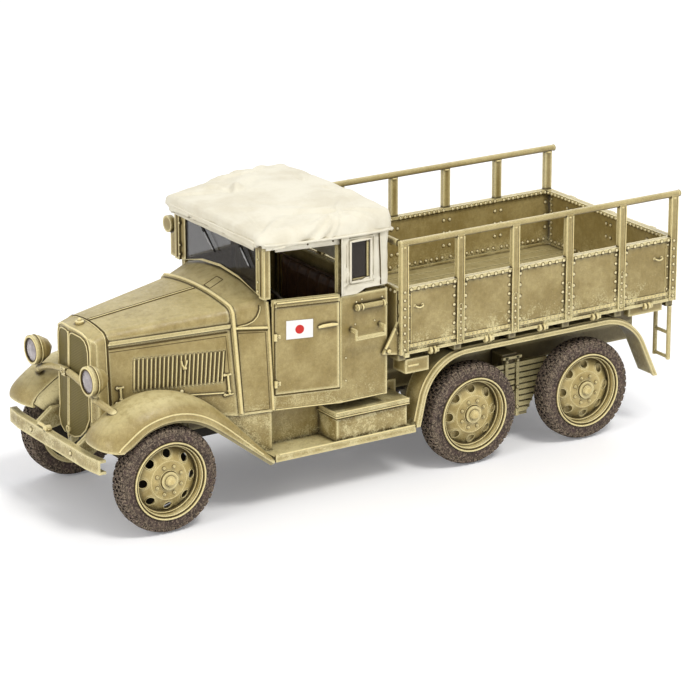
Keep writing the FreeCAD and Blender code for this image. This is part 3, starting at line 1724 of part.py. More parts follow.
def headboard():
    """Front wall of the bed with two posts and a tube between the side rails."""
    x = (S.bed_front_x - S.bed_wall, S.bed_front_x)
    half = bed_inner - S.bed_flange / 2
    panel = box("headboard_panel", x, (-half, half), (S.bed_floor_high, S.bed_top))
    posts = [
        box(
            "headboard_post_%d" % index, (S.bed_front_x - S.bed_wall, S.bed_front_x + S.post_rise),
            (place_y - S.post_span / 2, place_y + S.post_span / 2), (S.bed_floor_high, S.rail_z),
        )
        for index, place_y in enumerate((-half / 3, half / 3))
    ]
    rail_x = S.bed_front_x - S.bed_wall / 2
    reach = bed_inner - S.bed_rail_radius
    rail = rod("headboard_rail", "Y", rail_x, -reach, S.rail_z, S.bed_rail_radius, reach * 2)
    keep(joined("headboard", [panel, rail] + posts), "headboard")


def tailgate():
    """Low gate with a flat flange along its top and hinges at its foot."""
    half = bed_inner - S.bed_flange / 2
    panel = box(
        "tailgate_panel", (S.bed_rear_x, S.bed_rear_x + S.bed_wall), (-half, half), (S.bed_floor_high, S.bed_top)
    )
    flange = box(
        "tailgate_flange", (S.bed_rear_x, S.bed_rear_x + S.bed_wall + S.bed_flange), (-half, half),
        (S.bed_top - S.bed_wall, S.bed_top),
    )
    battens = [
        box(
            "tailgate_batten_%d" % index, (S.bed_rear_x - S.post_rise, S.bed_rear_x),
            (place_y - S.post_span / 2, place_y + S.post_span / 2), (S.bed_floor_high, S.bed_top),
        )
        for index, place_y in enumerate((-half * 2 / 3, 0 * half, half * 2 / 3))
    ]
    keep(joined("tailgate", [panel, flange] + battens), "tailgate")


def bed_frame():
    """Long sills on the frame rails, and bearers across them."""
    outer = S.rail_half_spacing
    pair("bed_sills", box(
        "bed_sill", (S.rail_rear_x, S.bed_front_x), (outer - S.sill_width, outer), (S.rail_top, S.bearer_low)
    ))
    bearers = [
        box(
            "bearer_%d" % index, (post_x(index), post_x(index) + S.bearer_width), (-bed_inner, bed_inner),
            (S.bearer_low, S.bed_floor_low),
        )
        for index in range(BAY_COUNT + 1)
    ]
    keep(gathered("bed_bearers", bearers), "bed_bearers")


def bed_fittings():
    """Gusset at the front of the bed, a locker under its front corner and a bracket at its rear."""
    y = (bed_inner - S.bed_wall, bed_inner)
    gusset = prism(
        "gusset", "XZ",
        [
            (S.bed_front_x, S.bed_bottom),
            (S.bed_front_x + S.gusset_reach, S.bed_bottom + S.bed_wall),
            (S.bed_front_x, S.bed_bottom + S.gusset_height),
        ],
        y[0], y[1],
    )
    locker = box(
        "locker", (S.locker_rear_x, S.locker_front_x - S.bearer_width), (S.locker_inner, bed_inner),
        (S.locker_low, S.bearer_low),
    )
    bracket = box(
        "tail_bracket", (S.bracket_rear_x, S.bracket_front_x), (bed_inner - S.post_span, bed_inner),
        (S.bearer_low - S.bed_wall, S.bed_bottom),
    )
    pair("bed_fittings", gathered("bed_fitting", [gusset, locker, bracket]))


RUNG_SHARE = 0.8


def ladder():
    """Two legs and two rungs hanging below the left rear corner of the bed."""
    x = S.ladder_x
    legs = [
        rod("ladder_leg_%d" % index, "Z", x, y, S.ladder_bottom, S.ladder_radius, S.bearer_low - S.ladder_bottom)
        for index, y in enumerate((S.ladder_inner_y, S.ladder_outer_y))
    ]
    rungs = [
        rod(
            "ladder_rung_%d" % index, "Y", x, S.ladder_inner_y, S.ladder_bottom + S.ladder_radius + S.rung_rise * index,
            S.ladder_radius * RUNG_SHARE, S.ladder_outer_y - S.ladder_inner_y,
        )
        for index in range(2)
    ]
    keep(joined("ladder", legs + rungs), "ladder")


bed_side("left")
bed_side("right")
bed_floor()
headboard()
tailgate()
bed_frame()
bed_fittings()
ladder()


# Checks and files
doc.recompute()
faults = []
for piece in doc.Objects:
    if "Invalid" in piece.State or "Error" in piece.State:
        faults.append("%s: %s" % (piece.Label, piece.State))
for piece in SUBPARTS:
    shape = piece.Shape
    if shape.isNull() or not shape.isValid() or not shape.Solids:
        faults.append("%s: bad shape" % piece.Label)
if faults:
    raise RuntimeError("; ".join(faults))

os.makedirs("parts", exist_ok=True)
for piece in SUBPARTS:
    piece.Shape.exportStep("parts/%s.step" % piece.Label)
    print(piece.Label, len(piece.Shape.Solids), round(piece.Shape.Volume, 1))
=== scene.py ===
import math
import random

import bmesh
import bpy
from mathutils import Matrix, Vector, noise


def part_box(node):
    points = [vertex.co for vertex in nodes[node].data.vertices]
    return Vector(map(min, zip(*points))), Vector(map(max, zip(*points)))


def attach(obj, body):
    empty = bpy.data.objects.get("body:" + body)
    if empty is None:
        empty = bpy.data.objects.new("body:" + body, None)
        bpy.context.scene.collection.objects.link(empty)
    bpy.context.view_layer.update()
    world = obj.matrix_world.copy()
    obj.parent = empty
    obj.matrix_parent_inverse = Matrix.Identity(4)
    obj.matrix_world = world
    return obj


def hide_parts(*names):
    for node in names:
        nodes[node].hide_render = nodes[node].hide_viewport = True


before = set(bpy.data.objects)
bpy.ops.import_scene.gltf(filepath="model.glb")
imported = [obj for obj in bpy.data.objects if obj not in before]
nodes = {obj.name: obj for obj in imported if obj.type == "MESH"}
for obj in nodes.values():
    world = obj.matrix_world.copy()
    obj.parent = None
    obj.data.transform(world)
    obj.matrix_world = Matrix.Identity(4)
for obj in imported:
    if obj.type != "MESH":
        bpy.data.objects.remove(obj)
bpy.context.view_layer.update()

# All lengths below are in millimetres and are scaled once, when a mesh is made.
MM = 0.001
TRUCK = "truck"
WAYS = (1, -1)
AHEAD, LEFT, UP = Vector((1, 0, 0)), Vector((0, 1, 0)), Vector((0, 0, 1))
# How far outside the truck a line starts that looks for its surface
FAR = 90.0
# The radius where a turned outline ends, and the angle from which an edge is sharp
OPEN_END = 0.01
EDGE_DEGREES = 40
# The ring of dark wash and painted shade at a rivet's foot: a share of the rivet's radius, and its height
WASH_AND_SHADE_SHARE = 1.35
WASH_AND_SHADE_HEIGHT = 0.07


# Points and faces
def steps(first, last, count):
    return [first + (last - first) * index / count for index in range(count + 1)]


def spoke(angle):
    """The direction at an angle about an axle."""
    return AHEAD * math.cos(angle) + UP * math.sin(angle)


def turned(axis):
    """An axis and two directions square to it."""
    axis = Vector(axis).normalized()
    side = axis.orthogonal().normalized()
    return axis, side, axis.cross(side)


def circle(centre, side, other, radius, count):
    turns = (2 * math.pi * step / count for step in range(count))
    return [centre + (side * math.cos(turn) + other * math.sin(turn)) * radius for turn in turns]


def quads(rows, size, closed=False, around=True):
    """Faces between rows of points, from the last row to the first if closed, and round each row."""
    faces = []
    for row in range(rows if closed else rows - 1):
        here, there = row * size, (row + 1) % rows * size
        for step in range(size if around else size - 1):
            nxt = (step + 1) % size
            faces.append((here + step, here + nxt, there + nxt, there + step))
    return faces


def make_mesh(name, points, faces, smooth=True, work=None):
    """An object from points in millimetres and faces, worked on if asked, with its faces turned outward."""
    mesh = bpy.data.meshes.new(name)
    mesh.from_pydata([tuple(value * MM for value in point) for point in points], [], faces)
    mesh.validate()
    shape = bmesh.new()
    shape.from_mesh(mesh)
    if work:
        work(shape)
    bmesh.ops.recalc_face_normals(shape, faces=shape.faces)
    shape.to_mesh(mesh)
    shape.free()
    if smooth:
        mesh.shade_smooth()
    piece = bpy.data.objects.new(name, mesh)
    bpy.context.scene.collection.objects.link(piece)
    return piece


class Build:
    """Gathers many small forms into one mesh."""

    def __init__(self):
        self.points = []
        self.faces = []
        self.marks = []

    def add(self, points, faces):
        start = len(self.points)
        self.points.extend(tuple(point) for point in points)
        self.faces.extend(tuple(start + index for index in face) for face in faces)

    def prism(self, first, last):
        """A solid between two outlines of as many points."""
        size = len(first)
        ends = [tuple(range(size)), tuple(reversed(range(size, size * 2)))]
        self.add(first + last, quads(2, size) + ends)

    def box(self, low, high):
        (x0, x1), (y0, y1), (z0, z1) = [sorted(ends) for ends in zip(low, high)]
        self.prism(*[[(x0, y0, z), (x1, y0, z), (x1, y1, z), (x0, y1, z)] for z in (z0, z1)])

    def dome(self, centre, normal, radius, height, sides=10, rings=3):
        """A low round head, such as a rivet's."""
        normal, side, other = turned(normal)
        centre = Vector(centre)
        points = []
        for ring in range(rings):
            turn = ring / rings * math.pi / 2
            middle = centre + normal * height * math.sin(turn)
            points += circle(middle, side, other, radius * math.cos(turn), sides)
        last = (rings - 1) * sides
        faces = quads(rings, sides) + [tuple(reversed(range(sides)))]
        faces += [(last + step, last + (step + 1) % sides, last + sides) for step in range(sides)]
        self.add(points + [centre + normal * height], faces)

    def tube(self, path, radius, sides=12, closed=False):
        """A round tube along a line of points. Its radius is one for all, or one for each point."""
        path = [Vector(point) for point in path]
        count = len(path)
        if count < 2:
            return
        sizes = radius if isinstance(radius, list) else [radius] * count
        points = []
        up = None
        for index, (point, size) in enumerate(zip(path, sizes)):
            if closed:
                ahead = path[(index + 1) % count] - path[index - 1]
            else:
                ahead = path[min(index + 1, count - 1)] - path[max(index - 1, 0)]
            ahead.normalize()
            up = up or ahead.orthogonal().normalized()
            up = (up - ahead * up.dot(ahead)).normalized()
            points += circle(point, up, ahead.cross(up), size, sides)
        faces = quads(count, sides, closed)
        if not closed:
            last = (count - 1) * sides
            faces += [tuple(reversed(range(sides))), tuple(range(last, last + sides))]
        self.add(points, faces)

    def hoop(self, centre, axis, distance, radius, sides=40, corners=8):
        """A round tube bent to a ring about an axis."""
        _, side, other = turned(axis)
        self.tube(circle(Vector(centre), side, other, distance, sides), radius, corners, closed=True)

    def lathe(self, centre, axis, outline, sides=48):
        """An outline of (distance along the axis, radius) turned about an axis."""
        axis, side, other = turned(axis)
        centre = Vector(centre)
        points = []
        for along, radius in outline:
            points += circle(centre + axis * along, side, other, radius, sides)
        self.add(points, quads(len(outline), sides))

    def wall(self, tops, feet, inward):
        """A thin wall between a line of tops and a line of feet."""
        size = len(tops)
        faces = [(0, size, size * 3, size * 2), (size - 1, size * 3 - 1, size * 4 - 1, size * 2 - 1)]
        for i in range(size - 1):
            faces.append((i, i + 1, size + i + 1, size + i))
            faces.append((size * 2 + i, size * 3 + i, size * 3 + i + 1, size * 2 + i + 1))
            faces.append((i, size * 2 + i, size * 2 + i + 1, i + 1))
            faces.append((size + i, size + i + 1, size * 3 + i + 1, size * 3 + i))
        self.add(tops + feet + [point + inward for point in tops + feet], faces)

    def stud(self, centre, normal, radius):
        """Notes a round head, which studded() makes."""
        self.marks.append((centre, normal, radius))

    def rivets(self, start, end, normal, pitch, radius):
        """A row of round heads at an even pitch."""
        start, end = Vector(start), Vector(end)
        count = max(1, round((end - start).length / pitch))
        for share in steps(0.0, 1.0, count):
            self.stud(start.lerp(end, share), normal, radius)

    def studded(self, name):
        """The pale round heads of this build, which are also a painted highlight, and rings of wash and
        painted shade about them, as two pieces.
        """
        rings = Build()
        heads = Build()
        for centre, normal, radius in self.marks:
            rings.dome(centre, normal, radius * WASH_AND_SHADE_SHARE, WASH_AND_SHADE_HEIGHT, 10, 1)
            heads.dome(centre, normal, radius, radius * 0.8, 8, 2)
        dress(rings.finish(name + "_wash"), "wash_and_shade")
        dress(heads.finish(name + "_heads"), "head")

    def finish(self, name, smooth=True, sharp=None):
        """The piece, with its edges sharp from an angle in degrees."""
        piece = make_mesh(name, self.points, self.faces, smooth)
        if sharp:
            piece.data.set_sharp_from_angle(angle=math.radians(sharp))
        return piece


# Materials
def srgb(red, green, blue):
    """A colour given as it looks on screen, from 0 to 255, as linear values."""
    def linear(value):
        share = value / 255
        return share / 12.92 if share <= 0.04045 else ((share + 0.055) / 1.055) ** 2.4

    return (linear(red), linear(green), linear(blue), 1.0)


def tinted(colour, tone):
    return tuple(value * tone for value in colour[:3]) + (1.0,)


class Tree:
    """A short way to write nodes. Inputs are sockets to link or values to set."""

    def __init__(self, tree):
        self.tree = tree
        tree.nodes.clear()

    def node(self, kind, inputs=None, **settings):
        made = self.tree.nodes.new(kind)
        for key, value in settings.items():
            setattr(made, key, value)
        for key, value in (inputs or {}).items():
            if isinstance(value, bpy.types.NodeSocket):
                self.tree.links.new(value, made.inputs[key])
            else:
                made.inputs[key].default_value = value
        return made

    def math(self, operation, first, second=0.0, third=0.0, clamp=False):
        inputs = {0: first, 1: second, 2: third}
        return self.node("ShaderNodeMath", inputs, operation=operation, use_clamp=clamp).outputs[0]

    def times(self, first, second):
        return self.math("MULTIPLY", first, second)

    def seen(self):
        """One for rays that show the background, none for rays that light the truck."""
        rays = self.node("ShaderNodeLightPath").outputs
        shown = self.math("MAXIMUM", rays["Is Camera Ray"], rays["Is Glossy Ray"])
        return self.math("MAXIMUM", shown, rays["Is Transmission Ray"])


class Graph(Tree):
    """A material, painted in layers."""

    def __init__(self, name, colour=(1.0, 1.0, 1.0, 1.0)):
        self.material = bpy.data.materials.new(name)
        self.material.use_nodes = True
        super().__init__(self.material.node_tree)
        inputs = {0: self.node("ShaderNodeTexCoord").outputs["Object"], "Scale": 1 / MM}
        self.place = self.node("ShaderNodeVectorMath", inputs, operation="SCALE").outputs[0]
        self.colour = colour

    def paint(self, share, colour):
        """Lays a colour over the last one, where the share is high."""
        inputs = {"Factor": share, 6: self.colour, 7: colour}
        self.colour = self.node("ShaderNodeMix", inputs, data_type="RGBA").outputs[2]

    def noise(self, scale, detail=3.0, rough=0.5, place=None):
        inputs = {"Vector": place or self.place, "Scale": scale, "Detail": detail, "Roughness": rough}
        return self.node("ShaderNodeTexNoise", inputs).outputs["Fac"]

    def span(self, value, low, high, to_low=0.0, to_high=1.0):
        """Brings a value from one range to another, smoothly."""
        inputs = {"Value": value, "From Min": low, "From Max": high, "To Min": to_low, "To Max": to_high}
        return self.node("ShaderNodeMapRange", inputs, interpolation_type="SMOOTHSTEP").outputs["Result"]

    def spots(self, scale, detail, rough, low, high, to_low=0.0, to_high=1.0):
        return self.span(self.noise(scale, detail, rough), low, high, to_low, to_high)

    def rest(self, value):
        return self.math("SUBTRACT", 1.0, value, clamp=True)

    def hollow(self, distance):
        """0 in open places and 1 deep in a corner or gap."""
        made = self.node("ShaderNodeAmbientOcclusion", {"Distance": distance * MM}, samples=8)
        return self.rest(made.outputs["AO"])

    def normal(self):
        return self.node("ShaderNodeNewGeometry").outputs["Normal"]

    def edges(self, radius):
        """1 along sharp edges."""
        bevel = self.node("ShaderNodeBevel", {"Radius": radius * MM}, samples=6).outputs["Normal"]
        dot = self.node("ShaderNodeVectorMath", {0: bevel, 1: self.normal()}, operation="DOT_PRODUCT")
        return self.rest(dot.outputs["Value"])

    def upward(self, vector):
        """A vector's height."""
        return self.node("ShaderNodeSeparateXYZ", {0: vector}).outputs["Z"]

    def bands(self, direction, scale, **inputs):
        inputs = {"Vector": self.place, "Scale": scale, **inputs}
        made = self.node("ShaderNodeTexWave", inputs, wave_type="BANDS", bands_direction=direction)
        return made.outputs["Fac"]

    def bump(self, value, strength, distance):
        inputs = {"Strength": strength, "Distance": distance * MM, "Height": value}
        return self.node("ShaderNodeBump", inputs).outputs["Normal"]

    def shade(self, roughness, normal=None, **more):
        """The finished material."""
        inputs = {"Base Color": self.colour, "Roughness": roughness}
        if normal is not None:
            inputs["Normal"] = normal
        inputs.update({key.replace("_", " "): value for key, value in more.items()})
        made = self.node("ShaderNodeBsdfPrincipled", inputs)
        self.node("ShaderNodeOutputMaterial", {"Surface": made.outputs["BSDF"]})
        return self.material


def khaki(name, dust, dust_most, tone=1.0, wear_and_highlight=0.85, wash_and_shade=1.0, top=0.4):
    """Painted khaki with a dark wash and painted shade in its corners, pale dry-brushed edges that are also
    a painted highlight, pale dust low down, pale dust and painted light on top, and painted shade below.

    dust is the heights where the low dust is full and where it ends.
    """
    plain, pale, dark, darker, bright = [tinted(srgb(*colour), tone) for colour in (
        (151, 132, 77), (180, 162, 108), (118, 101, 56), (104, 88, 46), (210, 193, 138),
    )]
    graph = Graph(name, plain)
    graph.paint(graph.spots(0.12, 4.0, 0.6, 0.35, 0.65), pale)
    graph.paint(graph.spots(0.9, 5.0, 0.65, 0.3, 0.7, 0.0, 0.34), dark)
    inputs = {0: graph.place, 1: (0.9, 0.9, 0.12)}
    drawn_out = graph.node("ShaderNodeVectorMath", inputs, operation="MULTIPLY").outputs[0]
    streaks = graph.noise(1.0, 4.0, 0.6, drawn_out)
    graph.paint(graph.span(streaks, 0.52, 0.72, 0.0, 0.30), pale)
    graph.paint(graph.spots(3.2, 5.0, 0.75, 0.36, 0.64, 0.0, 0.22), darker)
    graph.paint(graph.spots(2.1, 6.0, 0.8, 0.54, 0.66, 0.0, 0.24), bright)
    # Painted shade and dark wash in corners and gaps, found by occlusion at two sizes
    corner_shade_and_wash = graph.span(graph.hollow(2.8), 0.14, 0.56)
    corner_shade_and_wash = graph.times(corner_shade_and_wash, graph.spots(1.4, 3.0, 0.5, 0.2, 0.6, 0.55, 1.0))
    corner_shade_and_wash = graph.math("MAXIMUM", corner_shade_and_wash, graph.span(graph.hollow(0.9), 0.05, 0.32))
    free_of_shade_and_wash = graph.rest(corner_shade_and_wash)
    graph.paint(graph.times(corner_shade_and_wash, 0.88 * wash_and_shade), srgb(58, 47, 22))
    # Pale along sharp edges that lie out of shade: dry-brushed wear that is also a painted highlight
    edge = graph.span(graph.edges(1.3), 0.006, 0.07)
    edge = graph.times(edge, graph.spots(2.0, 4.0, 0.7, 0.28, 0.52, 0.55, 1.0))
    graph.paint(graph.times(graph.times(edge, free_of_shade_and_wash), wear_and_highlight), srgb(238, 225, 170))
    low = graph.span(graph.upward(graph.place), dust[1], dust[0])
    cloud = graph.times(low, graph.spots(0.22, 3.0, 0.6, 0.35, 0.65, 0.25, 1.0))
    speck = graph.span(graph.math("MULTIPLY_ADD", cloud, 0.20, graph.noise(3.0, 6.0, 0.78)), 0.60, 0.70)
    graph.paint(graph.times(speck, graph.math("MULTIPLY_ADD", low, dust_most, 0.08)), srgb(226, 215, 165))
    # Paler on open faces that look up: settled dust that is also painted light falling from above
    facing = graph.upward(graph.normal())
    dust_and_light_on_top = graph.times(graph.span(facing, 0.55, 0.98), free_of_shade_and_wash)
    dust_and_light_on_top = graph.times(dust_and_light_on_top, graph.spots(0.5, 5.0, 0.7, 0.3, 0.6, 0.25, 0.75))
    graph.paint(graph.times(dust_and_light_on_top, top), srgb(224, 212, 160))
    # Painted shade on faces that look down
    graph.paint(graph.span(facing, -0.2, -0.7, 0.0, 0.65), srgb(62, 52, 28))
    rough = graph.spots(1.5, 4.0, 0.5, 0.3, 0.7, 0.34, 0.52)
    return graph.shade(rough, graph.bump(graph.noise(7.0, 5.0, 0.7), 0.35, 0.05), Specular_IOR_Level=0.5)


def plain_paint(name, colour, roughness=0.6, grain=0.3, wash_and_shade=0.6, shade=0.6):
    """One paint that is a little uneven, and darker in its corners with painted shade and wash, by a share
    given as an argument.
    """
    graph = Graph(name, colour)
    graph.paint(graph.spots(1.2, 5.0, 0.65, 0.35, 0.7), tinted(colour, shade))
    # Painted shade in corners, found by occlusion
    graph.paint(graph.span(graph.hollow(2.0), 0.3, 0.9, 0.0, wash_and_shade), tinted(colour, 0.25))
    normal = graph.bump(graph.noise(6.0, 4.0, 0.6), grain, 0.05)
    return graph.shade(roughness, normal, Specular_IOR_Level=0.35)


def tyre_rubber():
    """Dusty rubber: painted shade in the grooves, tan on the blocks."""
    graph = Graph("tyre_rubber", srgb(52, 44, 41))
    graph.paint(graph.spots(0.7, 5.0, 0.7, 0.3, 0.7), srgb(88, 75, 66))
    graph.paint(graph.spots(0.4, 3.0, 0.5, 0.45, 0.7, 0.0, 0.6), srgb(82, 64, 64))
    graph.paint(graph.spots(1.5, 6.0, 0.78, 0.50, 0.60, 0.0, 0.8), srgb(150, 133, 112))
    # Painted shade in the grooves, found by occlusion
    groove = graph.span(graph.hollow(1.5), 0.15, 0.6)
    graph.paint(graph.times(groove, 0.9), srgb(24, 19, 18))
    edge = graph.span(graph.edges(0.5), 0.01, 0.16)
    edge = graph.times(edge, graph.spots(2.4, 4.0, 0.5, 0.38, 0.58, 0.0, 0.8))
    graph.paint(graph.times(edge, graph.rest(groove)), srgb(172, 156, 132))
    return graph.shade(0.8, graph.bump(graph.noise(3.5, 5.0, 0.7), 0.8, 0.12), Specular_IOR_Level=0.25)


def canvas_cloth():
    """Off-white canvas with a fine weave, and warm shade in its folds."""
    graph = Graph("canvas_cloth", srgb(231, 226, 208))
    graph.paint(graph.spots(0.10, 4.0, 0.6, 0.35, 0.7), srgb(218, 211, 190))
    graph.paint(graph.spots(1.6, 5.0, 0.7, 0.55, 0.8, 0.0, 0.25), srgb(206, 196, 166))
    graph.paint(graph.span(graph.hollow(2.5), 0.15, 0.9, 0.0, 0.55), srgb(150, 138, 98))
    weave = graph.math("ADD", *[graph.bands(way, 2.2, Distortion=0.6, Detail=1.0) for way in ("X", "Y")])
    weave = graph.math("MULTIPLY_ADD", graph.noise(2.2, 4.0), 1.2, weave)
    return graph.shade(0.85, graph.bump(weave, 0.18, 0.05), Specular_IOR_Level=0.2, Sheen_Weight=0.15)


def seat_leather():
    """Brown leather with fine cells, pale where it is rubbed."""
    graph = Graph("seat_leather", srgb(74, 50, 32))
    graph.paint(graph.spots(0.5, 4.0, 0.5, 0.35, 0.7), srgb(96, 68, 44))
    graph.paint(graph.span(graph.edges(0.4), 0.03, 0.4, 0.0, 0.5), srgb(140, 108, 76))
    cells = graph.node("ShaderNodeTexVoronoi", {"Vector": graph.place, "Scale": 2.4}).outputs["Distance"]
    return graph.shade(0.5, graph.bump(cells, 0.25, 0.06), Specular_IOR_Level=0.4)


def glass(name, colour, alpha, roughness, shine):
    graph = Graph(name, colour)
    film = graph.spots(0.25, 3.0, 0.5, 0.3, 0.7, roughness, roughness * 1.6)
    return graph.shade(film, Alpha=alpha, IOR=1.45, Specular_IOR_Level=shine)


def lens_glass():
    """Frosted lens of a headlamp, ribbed and mauve grey."""
    graph = Graph("lens_glass", srgb(170, 161, 160))
    graph.paint(graph.spots(0.6, 3.0, 0.5, 0.35, 0.65), srgb(142, 133, 134))
    ribs = graph.bump(graph.bands("Y", 0.9), 0.35, 0.15)
    return graph.shade(0.16, ribs, Specular_IOR_Level=0.6, Coat_Weight=0.6)


def mesh_metal():
    """Dark woven mesh of the radiator, khaki on its high points."""
    graph = Graph("mesh_metal", srgb(84, 74, 36))
    wire = graph.span(graph.math("MAXIMUM", graph.bands("Y", 0.75), graph.bands("Z", 0.75)), 0.70, 0.92)
    graph.paint(wire, srgb(142, 128, 74))
    return graph.shade(0.55, graph.bump(wire, 0.9, 0.18), Specular_IOR_Level=0.35)


MATERIAL = {
    "body": khaki("khaki_body", (20.0, 38.0), 0.60),
    "bed": khaki("khaki_bed", (34.0, 47.0), 0.80),
    "floor": khaki("khaki_floor", (30.0, 42.0), 0.30, tone=0.80, top=0.45),
    # The paler trim copies below and the rivet paint are dry-brushed paint that is also a painted highlight
    "trim": khaki("khaki_trim", (8.0, 40.0), 0.35, tone=1.9, wear_and_highlight=1.0, wash_and_shade=0.6, top=0.8),
    "under": khaki("khaki_under", (8.0, 26.0), 0.2, tone=0.45, wear_and_highlight=0.4, wash_and_shade=1.0, top=0.15),
    "fender": khaki("khaki_fender", (12.0, 34.0), 0.6, tone=1.05, top=0.85),
    "bed_trim": khaki("khaki_bed_trim", (34.0, 47.0), 0.5, tone=1.7, wear_and_highlight=1.0, wash_and_shade=0.7),
    "wheel_trim": khaki("khaki_wheel_trim", (0.0, 26.0), 0.4, tone=1.65, wear_and_highlight=1.0, wash_and_shade=0.6),
    "wheel": khaki("khaki_wheel", (0.0, 26.0), 0.45, tone=1.35, wash_and_shade=0.8),
    "dark": plain_paint("dark_paint", srgb(52, 46, 32), 0.6),
    "wash_and_shade": plain_paint("paint_wash_and_shade", srgb(122, 104, 58), 0.75, 0.3, 0.0),
    "head": plain_paint("rivet_paint", srgb(238, 225, 178), 0.6, 0.2, 0.0, 0.85),
    "steel": plain_paint("bright_metal", srgb(196, 196, 198), 0.35, 0.1, 0.2),
    "pane": glass("curtain_pane", srgb(50, 44, 38), 0.88, 0.12, 0.3),
    "line": plain_paint("panel_line_and_shade", srgb(84, 70, 36), 0.8, 0.3, 0.0, 0.8),
    "dash": plain_paint("dash_paint", srgb(66, 56, 32), 0.55),
    "tyre": tyre_rubber(),
    "canvas": canvas_cloth(),
    "seat": seat_leather(),
    "glass": glass("window_glass", srgb(44, 39, 33), 0.66, 0.06, 0.22),
    "lens": lens_glass(),
    "mesh": mesh_metal(),
    "white": plain_paint("white_paint", srgb(246, 245, 240), 0.5, 0.1, 0.0, 0.94),
    "red": plain_paint("red_paint", srgb(204, 44, 38), 0.5, 0.1, 0.0, 0.85),
    "black": plain_paint("black_rubber", srgb(30, 28, 26), 0.5, 0.2, 0.2),
}
# The materials of the source's nodes. A node that isn't named here is body, a tyre or a wheel.
LOOKS = {
    "under": [
        "frame_rails", "cross_members", "tie_rod", "middle_axle", "rear_axle", "front_springs",
        "bogie_springs", "bed_sills", "bed_bearers",
    ],
    "dark": ["front_axle", "drive_shafts", "engine", "exhaust", "steering_wheel", "cab_floor"],
    "fender": ["front_fenders", "rear_fenders", "running_boards", "bed_fittings"],
    "bed": ["bed_side_left", "bed_side_right", "bed_floor", "headboard", "tailgate"],
    "seat": ["seat_cushion", "seat_back"],
    "mesh": ["radiator_grille"], "glass": ["windscreen_glass"], "lens": ["headlamp_lenses"],
    "dash": ["dashboard"], "canvas": ["canopy"],
}


def look_of(name):
    kind = name.split("_")[0]
    if kind in ("tyre", "wheel"):
        return kind
    return next((look for look, names in LOOKS.items() if name in names), "body")


def dress(piece, material, body=TRUCK, replaces=()):
    """Gives a new piece its material and the body that it moves with."""
    piece.data.materials.clear()
    piece.data.materials.append(MATERIAL[material])
    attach(piece, body)
    if replaces:
        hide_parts(*replaces)
    return piece


for name, piece in nodes.items():
    material = MATERIAL[look_of(name)]
    if not piece.material_slots:
        piece.data.materials.append(material)
    for holder in piece.material_slots:
        holder.material = material


# Places on the truck, read from its nodes
def reach(name):
    """A node's lowest and highest corners, in millimetres."""
    low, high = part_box(name)
    return Vector(low) / MM, Vector(high) / MM


def meet(names, start, direction):
    """Where a line from a point first meets any of some nodes, and the surface's normal there."""
    start = Vector(start)
    best = None
    for name in names:
        found, place, normal, _ = nodes[name].ray_cast(start * MM, Vector(direction).normalized())
        if found and (best is None or (place / MM - start).length < (best[0] - start).length):
            best = (place / MM, normal)
    return best


def beside(names, x, z, way):
    """Where a line from beside the truck meets some nodes."""
    return meet(names, (x, FAR * way, z), (0, -way, 0))


def over(names, x, y):
    """Where a line from above the truck meets some nodes."""
    return meet(names, (x, y, FAR), (0, 0, -1))


def lifted(hits, lift=0.0):
    """A path through the places that were met, moved off the surface."""
    return [place + normal * lift for place, normal in filter(None, hits)]


def side_line(names, points, way, lift=0.0):
    return lifted((beside(names, x, z, way) for x, z in points), lift)


def top_line(names, points, lift=0.0):
    return lifted((over(names, x, y) for x, y in points), lift)


def between(corners, count=10):
    """Points spread along a line with corners."""
    points = []
    for first, last in zip(corners, corners[1:]):
        points += list(zip(*[steps(low, high, count) for low, high in zip(first, last)]))[:-1]
    return points + [tuple(corners[-1])]


# Wheels and tyres
TREAD_COUNT = 42
# The carcass from the rim to the tread, as shares of the tyre's half width and radius
CARCASS_SHARES = [
    (0.76, 0.702), (0.93, 0.722), (0.985, 0.765), (1.0, 0.790), (0.985, 0.800), (1.0, 0.83), (0.985, 0.865),
    (0.955, 0.872), (0.955, 0.885), (0.93, 0.91), (0.84, 0.945), (0.62, 0.962), (0.30, 0.966),
]
# Rows of blocks: the row's edges across, its radius shares there, and its shift round the wheel
BLOCK_ROWS = [
    ((0.03, 0.25), (0.998, 0.996), 0.0),
    ((0.31, 0.55), (0.995, 0.990), 0.5),
    ((0.61, 0.93), (0.985, 0.955), 0.1),
]
BLOCK_DEPTH_SHARE = 0.045
# The outline of a shoulder lug, as the same two shares
SHOULDER_SHARES = [(0.86, 0.965), (0.985, 0.948), (1.0, 0.905), (0.94, 0.900)]
NUT_COUNT = HOLE_COUNT = 8
# Outlines of (distance along the axis, radius)
NUT = [(0.0, 0.44), (0.26, 0.44), (0.34, 0.36), (0.34, 0.2), (0.55, 0.18), (0.6, OPEN_END)]
HUB_CAP = [
    (-0.85, 1.32), (-0.6, 1.34), (-0.5, 1.22), (-0.1, 1.2), (0.12, 1.0), (0.22, 0.6), (0.24, OPEN_END),
]
HOLE_BACK = [(0.25, 1.32), (-0.12, 1.18), (-0.2, 0.8), (-0.2, OPEN_END)]
HOLE_DISTANCE = 6.8
NUT_DISTANCE = 3.65


